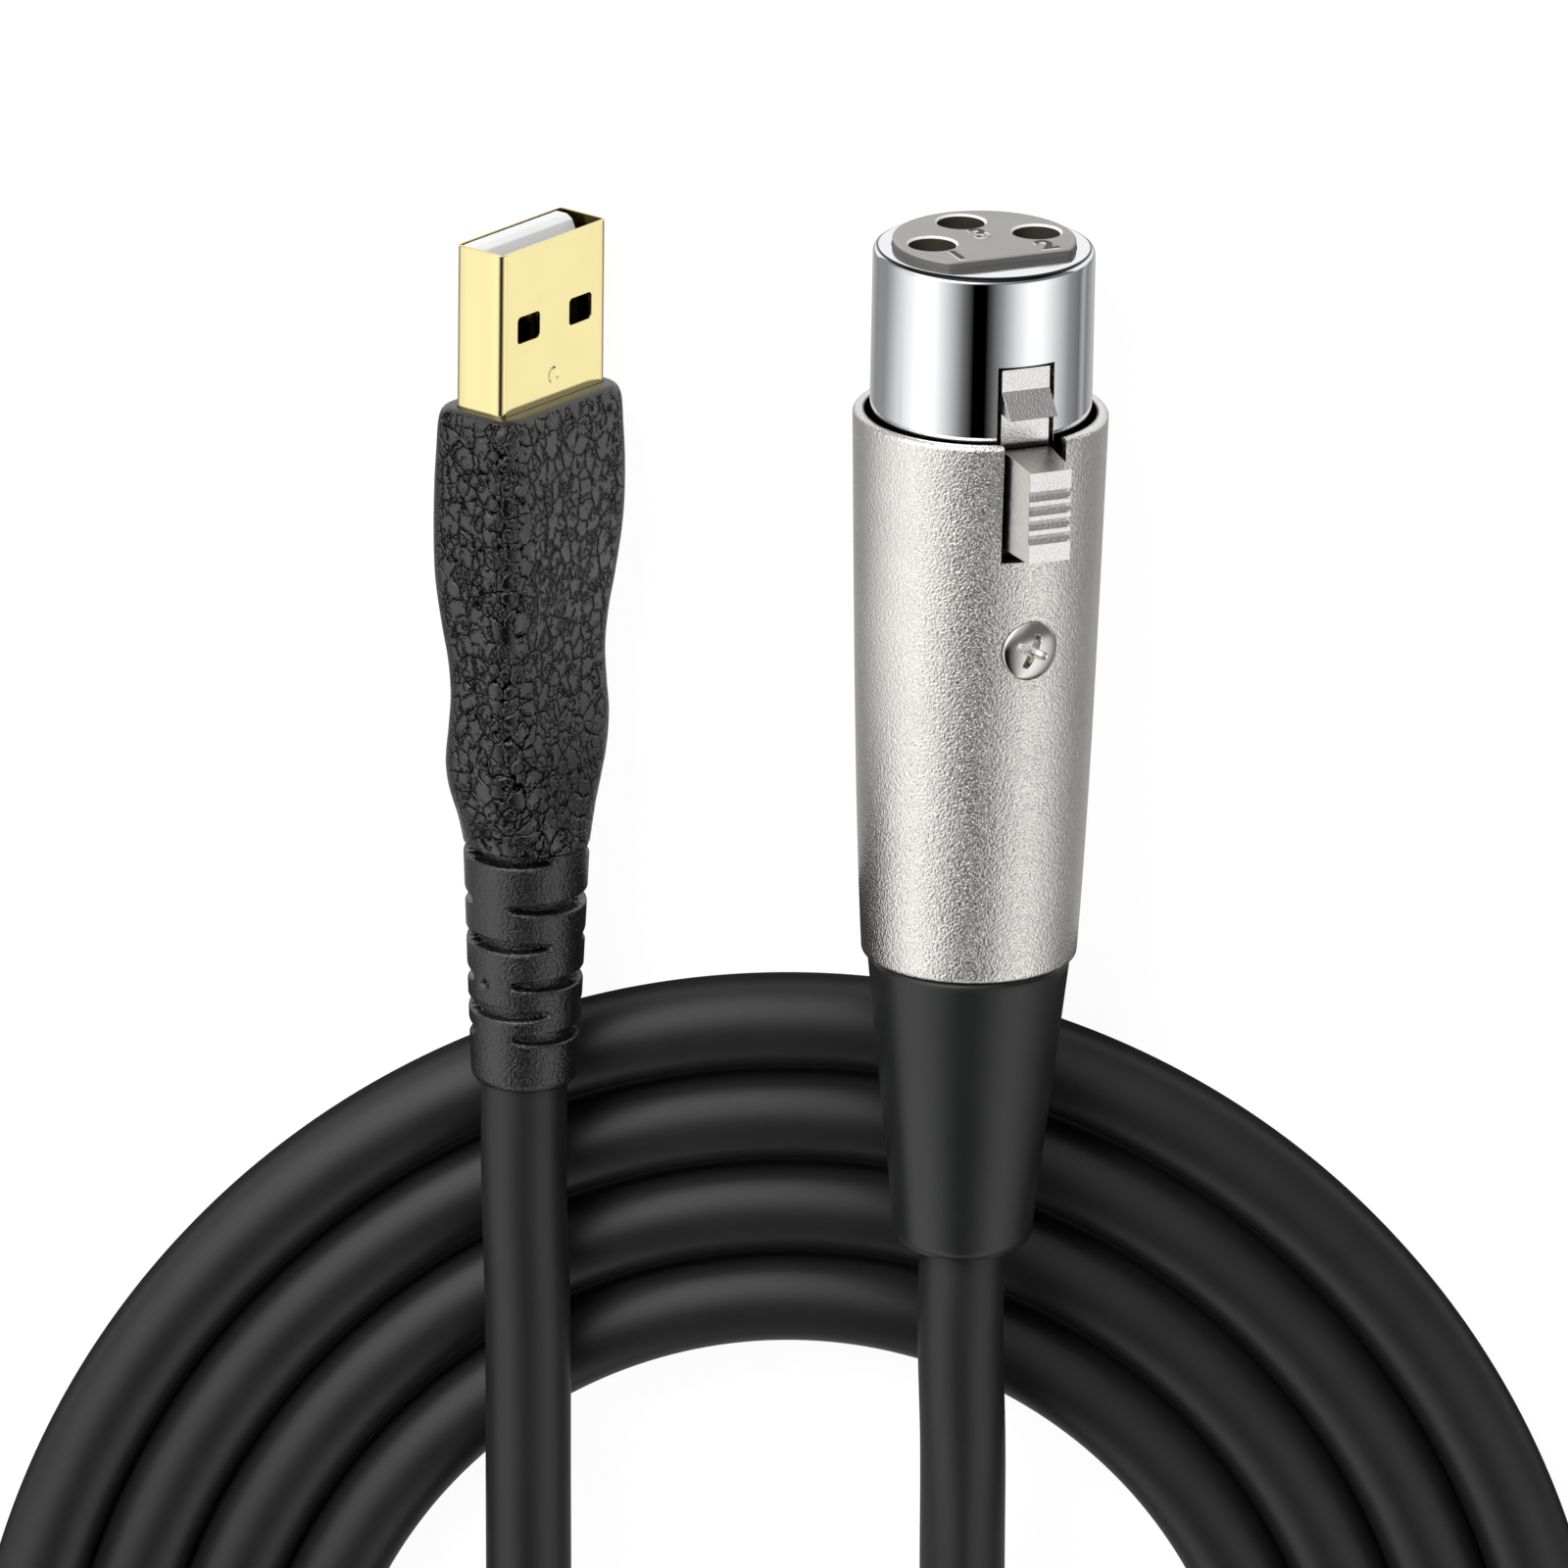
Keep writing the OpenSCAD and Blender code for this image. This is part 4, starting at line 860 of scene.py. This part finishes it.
def make_nose():
    """The chromed nose: a flange with a D-shaped opening, a rounded rim and a windowed wall."""
    side_rows = np.r_[np.linspace(RIM_ROUND, WINDOW_S, 12),
                      np.linspace(WINDOW_S, NOSE_LEN, 20)[1:]]
    rim = arc((NOSE_R - RIM_ROUND, RIM_ROUND), RIM_ROUND, -90, 0, 10)
    profile = np.vstack([rim, straight(NOSE_R, side_rows)[1:]])
    flange = 1
    inner = straight(np.minimum(profile[:, 0], NOSE_R - NOSE_WALL),
                     np.maximum(profile[:, 1], flange))
    angles = split_angles(WINDOW_W / 2, NOSE_R)
    outer_grid, inner_grid = revolve(profile, angles), revolve(inner, angles)
    hole = boss_radius(angles) + BOSS_GAP
    face = np.stack([turned(hole + (NOSE_R - RIM_ROUND - hole) * f, angles, 0)
                     for f in np.linspace(0, 1, 5)[:-1]])
    under = face.copy()
    under[..., 2] = flange
    under[..., :2] *= np.minimum(1, (NOSE_R - NOSE_WALL)
                                 / np.linalg.norm(under[..., :2], axis=-1))[..., None]
    outer_grid, inner_grid = np.vstack([face, outer_grid]), np.vstack([under, inner_grid])
    rows = outer_grid[:-1, 0, 2]
    keep = np.ones((len(outer_grid) - 1, len(angles)), bool)
    keep[rows > WINDOW_S - 0.01, :OPENING_STEPS] = False
    piece("nose_shell_skin", [wall(outer_grid, inner_grid, keep)], XLR, CHROME,
          ("nose_shell",), bevel=0.05, segments=2, sharp=50)


def cut(target, cutters):
    """Cuts other pieces out of a piece and removes them."""
    for i, tool in enumerate(cutters):
        boolean = target.modifiers.new(f"cut_{i}", "BOOLEAN")
        boolean.object = tool
        boolean.solver = "EXACT"
        boolean.material_mode = "TRANSFER"
    bpy.context.view_layer.update()
    result = bpy.data.meshes.new_from_object(
        target.evaluated_get(bpy.context.evaluated_depsgraph_get()))
    target.modifiers.clear()
    target.data = result
    for tool in cutters:
        bpy.data.objects.remove(tool)


def cutter(name, rings, seat, material):
    """A solid through rings of points, to cut with: it leaves its material on what it cuts."""
    points, faces = loft(np.stack(rings))
    mesh = bpy.data.meshes.new(name)
    mesh.from_pydata(put(points, seat).tolist(), [], faces)
    mend(mesh, 1e-6)
    mesh.materials.append(material)
    return new_object(name, mesh)


DIGIT_SIZE, DIGIT_RAISE = 2.8, 0.1


def digit(text, w, u):
    """A bold digit that reads with its head away from the latch, raised a little from the face."""
    curve = bpy.data.curves.new("digit_" + text, "FONT")
    curve.body = text
    curve.size = DIGIT_SIZE * MM
    curve.offset = DIGIT_RAISE * MM
    curve.align_x = "CENTER"
    curve.align_y = "CENTER"
    curve.extrude = DIGIT_RAISE * MM
    made = new_object("digit_" + text, curve)
    bpy.context.view_layer.update()
    mesh = bpy.data.meshes.new_from_object(made)
    bpy.data.objects.remove(made)
    # Seen from the mouth, w runs the other way round from the text's own x.
    head, out = -XLR[1][1], -XLR[1][2]
    place = Matrix(np.stack([np.cross(head, out), head, out], 1).tolist()).to_4x4()
    mesh.transform(place)
    corners = read(mesh.vertices, "co") @ XLR[1].T
    middle = (corners.min(0) + corners.max(0)) / 2
    mesh.transform(Matrix.Translation(put([w, u, -BOSS_H], XLR) - middle @ XLR[1]))
    mend(mesh, 1e-6)
    return mesh


def add_digits(body):
    """Joins the pin numbers to the insert: painted shade on top, a pale painted highlight on their
    sides.
    """
    dark = len(body.data.materials)
    for material in (DIGIT_PAINTED_SHADE, PAINTED_HIGHLIGHT):
        body.data.materials.append(material)
    whole = bmesh.new()
    whole.from_mesh(body.data)
    for text, w, u in (("1", -3.7, 3.4), ("3", 0, -0.86), ("2", 3.4, 3.35)):
        mesh = digit(text, w, u)
        side = np.abs(read(mesh.polygons, "normal") @ XLR[1][2]) <= 0.7
        mesh.polygons.foreach_set("material_index", np.int32(dark + side))
        whole.from_mesh(mesh)
    whole.to_mesh(body.data)
    whole.free()


def make_insert():
    """The insert: a raised D with bevelled edges, three holes and their numbers."""
    angles = full_turn(240)
    edge = arc((-BOSS_BEVEL, BOSS_BEVEL - BOSS_H), BOSS_BEVEL, 0, -90, 7)
    rings = [turned(boss_radius(angles, -dr), angles, s) for dr, s in [(0, INSERT_END), *edge]]
    body = piece("pin_insert_face", [loft(np.stack(rings))], XLR, INSERT_GREY,
                 ("pin_insert",))
    # A hole's mouth is broken by a narrow chamfer.
    wide = HOLE_R + CHAMFER
    hole = revolve([(wide, -2), (wide, -BOSS_H - 0.001), (HOLE_R, CHAMFER - BOSS_H),
                    (HOLE_R, INSERT_END + 3)], full_turn(64))
    cut(body, [cutter("hole", hole + [w, u, 0], XLR, HOLE_SHADE)
               for w, u in ((-HOLE_PLACE, 0), (HOLE_PLACE, 0), (0, -HOLE_PLACE))])
    # The chamfers get a pale painted highlight.
    faces = body.data.polygons
    index = np.empty(len(faces), np.int32)
    faces.foreach_get("material_index", index)
    behind = (read(faces, "center") - XLR[0]) @ XLR[1][2] / MM
    holes = body.data.materials.find("hole_shade")
    index[(index == holes) & (behind < -BOSS_H + 0.12)] = len(body.data.materials)
    body.data.materials.append(PAINTED_HIGHLIGHT)
    faces.foreach_set("material_index", index)
    add_digits(body)
    body.data.set_sharp_from_angle(angle=math.radians(30))


def make_latch():
    """The latch: a thin arm with a wedge hook in the window, a grooved thumb piece and a hub."""
    arm = [[WINDOW_S + 0.25, ARM_IN], [WINDOW_S + 0.25, ARM_OUT], [HOOK_S, ARM_OUT],
           [HOOK_END - 0.1, HOOK_U], [HOOK_END, HOOK_U - 0.1], [HOOK_END - 0.15, ARM_OUT],
           [THUMB_END - 0.2, ARM_OUT], [THUMB_END, ARM_OUT - 0.75],
           [PIVOT_S, PIVOT_U + HUB_R], [PIVOT_S, PIVOT_U - HUB_R], [THUMB_END, ARM_IN]]
    groove = np.array([[-0.375, 0], [-0.3, -0.2], [0, -0.36], [0.3, -0.2], [0.375, 0]])
    pitch = 1.1
    grooves = [groove + [(THUMB_FACE_S + THUMB_END) / 2 + (i - 1.5) * pitch, THUMB_U]
               for i in range(4)]
    thumb = np.vstack([[[THUMB_S, ARM_OUT - 0.3], [THUMB_FACE_S, THUMB_U]], *grooves,
                       [[THUMB_END, THUMB_U], [THUMB_END, ARM_OUT - 0.3]]])
    turn = full_turn(40)
    hub = np.stack([PIVOT_S + HUB_R * np.cos(turn), PIVOT_U + HUB_R * np.sin(turn)], 1)
    # The thumb piece widens towards its foot.
    points, faces = prism(thumb, THUMB_W / 2)
    points[:, 0] *= 1 + 0.03 * (THUMB_U - points[:, 1])
    piece("latch_lever_body", [prism(arm, ARM_W / 2), (points, faces), prism(hub, ARM_W / 2)],
          XLR, LATCH_NICKEL, ("latch_lever",), body="latch", bevel=0.09,
          sharp=25)


def sleeve_radius(s):
    """Radius of the sleeve at a distance from the mouth."""
    f = (np.asarray(s, float) - SLEEVE_S) / (SLEEVE_LEN - LIP_R)
    return SLEEVE_R1 - (SLEEVE_R1 - SLEEVE_R2) * (0.75 * f + 0.25 * f**4)


def screw_ring(r, height, turn):
    """Rings of points round the screw's middle, each at a height from the connector's axis."""
    return np.stack([r * np.cos(turn), height + 0 * turn, SCREW_S + r * np.sin(turn)], -1)


def make_sleeve():
    """The tapered sleeve: a rounded rim, a slot for the thumb piece and a seat for the screw."""
    slot_end = SLEEVE_S + SLOT_LEN
    side = np.r_[np.linspace(SLEEVE_S + LIP_R, slot_end, 14),
                 np.linspace(slot_end, SLEEVE_END - LIP_R, 60)[1:]]
    rim = arc((SLEEVE_R1 - LIP_R, SLEEVE_S + LIP_R), LIP_R, -90, 0, 9)
    foot = arc((SLEEVE_R2 - LIP_R, SLEEVE_END - LIP_R), LIP_R, 0, 90, 7)[1:]
    outer = np.vstack([rim[:-1], straight(sleeve_radius(side), side), foot])
    bore, mouth_bore, end_bore, least_wall = 8.2, 8.5, 6.9, 0.9
    inner_r = np.minimum(bore, outer[:, 0] - least_wall)
    inner_r[outer[:, 1] < SLEEVE_S + 1] = mouth_bore
    inner_r[-len(foot):] = end_bore
    inner = straight(inner_r, np.clip(outer[:, 1], SLEEVE_S, SLEEVE_END))
    inner[:len(rim), 1] = SLEEVE_S + np.linspace(0.12, 0.6, len(rim))
    grids = [turned(p[:, :1], split_angles(SLOT_W / 2, p[:, 0]), p[:, 1:])
             for p in (outer, inner)]
    keep = np.ones((len(outer) - 1, grids[0].shape[1]), bool)
    keep[outer[:-1, 1] < slot_end - 0.01, :OPENING_STEPS] = False
    sleeve = piece("sleeve_skin", [wall(*grids, keep)], SCREW, PEARL, ("sleeve",))
    gap, seat_depth = 0.12, 0.6
    seat = [screw_ring(SCREW_HEAD_R + gap, sleeve_radius(SCREW_S) + h, full_turn(72))
            for h in (-seat_depth, 2)]
    cut(sleeve, [cutter("screw_seat", seat, SCREW, PEARL)])
    sleeve.data.set_sharp_from_angle(angle=math.radians(45))
    round_edges(sleeve, 0.14, 2, 55)


def make_screw():
    """An oval screw head as a height over a disc: a dome, less a cross with tapered arms."""
    high, deep, tilt = 0.55, 1.15, math.radians(25)
    r = (SCREW_HEAD_R * np.linspace(0, 1, 64)[1:] ** 0.9)[:, None]
    turn = full_turn(240)
    x, y = r * np.cos(turn), r * np.sin(turn)
    dome = high * (1 - (r / SCREW_HEAD_R) ** 2) ** 0.8
    one = x * math.cos(tilt) + y * math.sin(tilt)
    other = y * math.cos(tilt) - x * math.sin(tilt)

    def arm(a, b):
        """Depth of one bar of the cross: it narrows and grows shallower away from the middle."""
        reach = np.clip((1.3 - np.abs(a)) / 0.5, 0, 1)
        half = 0.36 - 0.08 * np.abs(a)
        return np.clip((half - np.abs(b)) / 0.07, 0, 1) * reach**0.6 * (deep - 0.25 * np.abs(a))

    height = sleeve_radius(SCREW_S) - 0.1
    top = screw_ring(r, height + dome - np.maximum(arm(one, other), arm(other, one)), turn)
    foot = screw_ring(SCREW_HEAD_R, height - 0.9, turn)
    points, faces = loft(np.concatenate([top, foot[None]]), closed=False)
    m = len(turn)
    points = np.vstack([points, [[0, height + high - deep, SCREW_S]]])
    faces += [[j, len(points) - 1, (j + 1) % m] for j in range(m)]
    faces.append(list(range(len(r) * m, (len(r) + 1) * m)))
    piece("sleeve_screw_head", [(points, faces)], SCREW, SCREW_NICKEL,
          ("sleeve_screw",), sharp=60)


def make_boot():
    """The boot: a smooth taper with a rounded end, bored for the cord."""
    neck, front_r, front_round, end_r, end_round = 6.6, 7.35, 0.3, 5.1, 1.3
    s = np.linspace(SLEEVE_END + 0.5, BOOT_END - end_round, 40)
    r = np.interp(s, [SLEEVE_END, BOOT_END - end_round], [7.45, end_r])
    start = arc((front_r - front_round, SLEEVE_END + 0.42), front_round, -90, 0, 5)[:-1]
    end = arc((end_r - end_round, BOOT_END - end_round), end_round, 0, 82, 9)[1:]
    outer = np.vstack([[[neck, SLEEVE_END - 3], [neck, SLEEVE_END + 0.12]], start,
                       straight(r, s), end])
    inner = straight(CORD_D / 2 + 0.05, outer[:, 1])
    turn = full_turn(160)
    piece("boot_skin", [wall(revolve(outer, turn), revolve(inner, turn))], XLR, BOOT_RUBBER,
          ("boot",))


# ---------------------------------------------------------------- USB plug


def shell_outline(inset, xs, ys):
    """A rounded rectangle, drawn in by inset, as points (w, u) in order round it.

    xs and ys are the places of the points along its straight sides, the same for every inset.
    """
    half_w, half_t, r = USB_W / 2 - inset, USB_T / 2 - inset, USB_CORNER - inset
    a = np.radians(np.linspace(0, 90, 7)[1:-1])
    c, s = r * np.cos(a), r * np.sin(a)
    x0, y0 = xs[-1], ys[-1]
    return np.vstack([
        np.stack([xs, np.full_like(xs, half_t)], 1), np.stack([x0 + s, y0 + c], 1),
        np.stack([np.full_like(ys, half_w), -ys], 1), np.stack([x0 + c, -y0 - s], 1),
        np.stack([-xs, np.full_like(xs, -half_t)], 1), np.stack([-x0 - s, -y0 - c], 1),
        np.stack([np.full_like(ys, -half_w), ys], 1), np.stack([-x0 - c, y0 + s], 1)])


def make_shell():
    """The folded shell: a wall with two windows in each broad side, and a pressed dimple."""
    edge = USB_W / 2 - USB_CORNER
    window_w, window_len, window_s, window_x, window_corner = 2.5, 2, 6.16, 2.95, 0.3
    dimple_w, dimple_len, dimple_s, dimple_depth = 0.75, 0.8, 10.5, 0.16
    seam_w, seam_depth = 0.06, 0.07
    half = np.r_[np.linspace(0, 1, 14), 1.35, 4.8, edge]
    xs = np.r_[-half[:0:-1], half]
    ys = np.linspace(-(USB_T / 2 - USB_CORNER), USB_T / 2 - USB_CORNER, 7)
    rows = np.r_[np.linspace(0, 4.7, 6), np.linspace(7.6, 9.4, 5), np.linspace(9.4, 11.6, 30)[1:],
                 np.linspace(11.6, USB_SHOW + 1.5, 8)[1:]]
    grids = []
    for inset in (0, USB_WALL):
        loop = shell_outline(inset, xs, ys)
        w, u = (loop[None, :, k] + 0 * rows[:, None] for k in (0, 1))
        s = rows[:, None] + 0 * w
        far = np.sqrt((w / dimple_w) ** 2 + ((s - dimple_s) / dimple_len) ** 2)
        slope = np.clip((far - 0.4) / 0.6, 0, 1)
        press = dimple_depth * (1 - slope**2 * (3 - 2 * slope))
        u = np.where((u > 1.5) & (far < 1), u - press, u)
        # The folded sheet meets in a seam along the far broad side.
        seam = seam_depth * np.exp(-((w / seam_w) ** 2))
        u = np.where((u < -USB_T / 2 + 0.01), u + seam, u)
        grids.append(np.stack([w, u, s], -1))
    shell = piece("usb_shell_skin", [wall(*grids)], USB, GOLD, ("usb_shell",))
    w, s = rounded_loop([window_w], [window_len], [window_corner], 7, 3)[0].T
    cut(shell, [cutter("window", [np.stack([x + w, u + 0 * w, window_s + s], -1) for u in (-3, 3)],
                       USB, GOLD) for x in (-window_x, window_x)])
    shell.data.set_sharp_from_angle(angle=math.radians(50))
    round_edges(shell, 0.07, 3, 50, clamp=False)


def make_tongue():
    """The white tongue: flat at the mouth, then two slopes to its contact side, and a block."""
    low, top, high, half_w, block_s, end, aside = -1.84, 0.02, 1.84, 5.55, 12.2, 18, 0.45
    outline = [[0.02, low], [0.02, low + 1], [0.32, low + 1.5], [1.1, top], [block_s, top],
               [block_s, high], [end, high], [end, low]]
    points, faces = prism(outline, half_w)
    # The tongue in front of the block stands back from one side wall.
    points[:, 0] -= np.where((points[:, 0] > 0) & (points[:, 2] < 12), aside, 0)
    piece("usb_tongue_body", [(points, faces)], USB, TONGUE_WHITE,
          ("usb_tongue",), bevel=0.07, sharp=12, clamp=False)


def make_strips():
    """The plug's four contacts along the tongue: the outer two are wider and reach further."""
    parts = []
    for w, half_w, front in ((-3.3, 0.95, 1.3), (-1.1, 0.75, 2.3),
                             (1.1, 0.75, 2.3), (3.3, 0.95, 1.3)):
        points, faces = prism([[front, 0], [front + 0.25, 0.27], [12, 0.27], [12, 0]], half_w)
        parts.append((points + [w, 0, 0], faces))
    piece("usb_contact_strips", parts, USB, STRIP_GOLD, ("usb_contacts",),
          bevel=0.04, segments=2)


# Sections of the grip: distance behind its front, width and thickness less than the widest
# section's, and corner radius.
GRIP_SECTIONS = [[0, 1.4, 1.8, 1.6], [0.6, 0.6, 1, 2], [3.4, 0.1, 0.5, 2.2], [7.4, 0, 0, 2.4],
                 [11.4, 0.2, 0.1, 2.4], [15.6, 1.2, 0.9, 2.2], [18.5, 2, 1.5, 2.2],
                 [21.3, 2.4, 1.7, 2.2], [23.8, 2.2, 1.2, 2.5], [26.4, 1.7, 0.7, 2.9],
                 [28.4, 2.2, 0.5, 3.1], [30.1, 2.9, 0.4, 3.5], [31.5, 3.8, 0.2, 3.8],
                 [34.2, 5.3, -0.7, 4.64]]


def rounded_loop(w, t, r, corner=14, side=14):
    """Rounded rectangles of sizes w, t and corner radii r (arrays), as points (rows, m, 2)."""
    w, t, r = (np.asarray(v, float)[:, None] for v in (w, t, r))
    bits = []
    for k, (sx, sy) in enumerate(((1, 1), (-1, 1), (-1, -1), (1, -1))):
        a = np.radians(90 * k + np.linspace(0, 90, corner))
        bits.append(np.stack([sx * (w / 2 - r) + r * np.cos(a), sy * (t / 2 - r) + r * np.sin(a)],
                             -1))
    loops = []
    f = np.linspace(0, 1, side)[None, 1:-1, None]
    for k in range(4):
        start, end = bits[k][:, -1:], bits[(k + 1) % 4][:, :1]
        loops += [bits[k], start + (end - start) * f]
    return np.concatenate(loops, 1)


def make_grip():
    """The soft grip: sections with a waist and a swell near its end, hollow for the shell."""
    edge_round, seam_depth, seam_w, lag = 0.25, 0.05, 0.08, 0.22
    s = np.r_[0, np.linspace(0.03, 0.25, 6), np.linspace(0.4, GRIP_LEN, 120)]
    knots = smooth_line(GRIP_SECTIONS, 0.05)
    cut_w, cut_t, r = (np.interp(s, knots[:, 0], knots[:, k]) for k in (1, 2, 3))
    # The front edge is rounded over.
    edge = edge_round * (1 - np.sqrt(1 - (1 - np.clip(s / edge_round, 0, 1)) ** 2))
    w, t = GRIP_W - cut_w - 2 * edge, GRIP_T - cut_t - 2 * edge
    loop = rounded_loop(w, t, np.minimum(r, t / 2 - 0.01))
    swell = loop.copy()
    # A faint parting line down the middle of both narrow sides.
    off = seam_depth * np.exp(-((loop[..., 1] / seam_w) ** 2)) * (np.abs(loop[..., 1]) < 0.3)
    swell[..., 0] -= np.sign(loop[..., 0]) * off
    # The waist and the swell lie askew: they come earlier on one narrow side than on the other.
    askew = lag * np.interp(s, [3, 12, 26, GRIP_LEN], [0, 1, 1, 0])[:, None, None]
    outer = np.concatenate([swell, USB_SHOW + s[:, None, None] - askew * loop[..., :1]], -1)
    bore = rounded_loop(*(np.interp(s, [0, 5, 20, 24], sizes) for sizes in (
        [USB_W + 0.1, USB_W + 0.1, 12.1, 6.5], [USB_T + 0.1, 5.5, 5.5, 6.45],
        [0.65, 1.6, 1.6, 3.2])))
    inner = np.concatenate([bore, outer[..., 2:]], -1)
    face = outer[0] + (inner[0] - outer[0]) * np.linspace(0, 1, 4)[1:-1, None, None]
    outer = np.concatenate([face[::-1], outer])
    inner = np.concatenate([inner[:1], inner[:1], inner])
    piece("usb_grip_skin", [wall(outer, inner)], USB, GRIP_PVC, ("usb_grip",))


RELIEF_SLOTS = [-0.2, 3.5, 6.5, 9.5, 11.8, 13.7]


def make_relief():
    """The strain relief: a taper with six rows of slots, each row turned from the last."""
    slot_w, core, chord = 0.9, 3.4, 1.68
    lip_h, lip_w = 0.1, 0.12
    pit_s, pit_turn, pit_r, pit_depth = 10.3, 1.46 * math.pi, 0.3, 0.5
    middles = np.array(RELIEF_SLOTS) + 0.12 + slot_w / 2
    steps = np.array([-0.75, -0.6, -0.5, -0.46, -0.42, -0.36, -0.28, -0.18, -0.08])
    edges = middles[:, None] + np.r_[steps, -steps]
    s = np.r_[edges.ravel(), np.linspace(0, RELIEF_LEN - 1, 80)]
    s = np.unique(np.clip(s, 0, RELIEF_LEN - 1))
    turn = full_turn(220)
    body = np.interp(s, [0, RELIEF_LEN - 1], [RELIEF_R1, RELIEF_R2])[:, None] + 0 * turn
    pull = np.zeros_like(body)
    for i, middle in enumerate(middles):
        # A slot is a flat cut from each side, no deeper than the core, and it narrows to a point.
        # Every second one is turned.
        away = np.abs(np.cos(turn - (math.pi / 2 if i % 2 == 0 else 0)))
        deep = body - np.minimum(body, np.maximum(core, chord / np.maximum(away, 0.05)))
        reach = np.arccos(away) / np.arccos(chord / body)
        half = slot_w / 2 * np.sqrt(np.clip(1 - reach**3, 0, 1))
        x = np.abs(s[:, None] - middle)
        inside = np.clip((half - x + 0.02) / 0.04, 0, 1)
        lip = lip_h * np.exp(-(((x - half) / lip_w) ** 2)) * np.clip(deep / 0.3, 0, 1)
        pull = np.maximum(pull, inside * deep + (1 - inside) * lip)
    pit = np.exp(-(((s[:, None] - pit_s) / pit_r) ** 2
                   + ((turn - pit_turn) * RELIEF_R2 / pit_r) ** 2))
    grid = turned(body - pull - pit_depth * pit, turn, RELIEF_S + s[:, None])
    end = arc((RELIEF_R2 - 1, USB_END - 1), 1, 0, 75, 8)[1:]
    grid = np.concatenate([grid, revolve(end, turn)])
    inner = revolve(straight(CORD_D / 2 + 0.03, grid[:, 0, 2]), turn)
    piece("usb_relief_skin", [wall(grid, inner)], USB, RELIEF_PVC, ("usb_relief",),
          sharp=70)


# ---------------------------------------------------------------- the CAD nodes that stay


def dress_nodes():
    """Finishes for the CAD nodes that show through gaps or are shut inside."""
    def moulded(name, color, roughness, *grain):
        """Plastic with a pebbled skin of a scale and a depth."""
        return finish(name, color, roughness, skin=(PEBBLE, *grain))

    finishes = {
        ("contact_1", "contact_2", "contact_3"): STRIP_GOLD,
        ("xlr_cord_end", "usb_cord_end"): CORD_PVC,
        ("latch_pin", "latch_spring", "board_crystal"):
            finish("plain_steel", (0.6, 0.6, 0.6), 0.3, metal=1, tint=0.05),
        ("contact_carrier",): moulded("carrier_plastic", (0.02, 0.02, 0.021), 0.5, 3000, 0.01),
        ("cord_chuck",): moulded("chuck_plastic", (0.1, 0.1, 0.105), 0.5, 3000, 0.01),
        ("converter_board",): finish("board_laminate", (0.02, 0.16, 0.06), 0.25, tint=0.25,
                                     haze_scale=400, coat=0.4),
        ("converter_chip",): moulded("chip_epoxy", (0.02, 0.02, 0.02), 0.55, 6000, 0.01),
        ("board_capacitors",):
            finish("capacitor_can", (0.6, 0.61, 0.63), 0.25, metal=1, tint=0.05),
        ("usb_can",): finish("can_tin", (0.66, 0.66, 0.66), 0.35, 0.12, metal=1, tint=0.08),
        ("usb_inner_mould",): moulded("inner_mould", (0.72, 0.7, 0.64), 0.45, 2500, 0.02),
        ("board_wires",): wire_finish("board_wire_pvc", XLR, 2.2),
        ("usb_wires",): wire_finish("usb_wire_pvc", USB, 1.6),
    }
    for nodes, material in finishes.items():
        for node in nodes:
            made = frame["nodes"][node]
            if made.material_slots:
                for place in made.material_slots:
                    place.material = material
            else:
                made.data.materials.append(material)


# ---------------------------------------------------------------- making it all

set_camera()
make_cord()
set_world()
set_lamp("key", (-0.4, 0.75, 0.72), 0.5, 13)
set_floor()
set_card()
set_painted_crease_shade()
for make in (make_nose, make_insert, make_latch, make_sleeve, make_screw, make_boot, make_shell,
             make_tongue, make_strips, make_grip, make_relief, dress_nodes):
    make()

bpy.context.scene.view_settings.view_transform = "Standard"
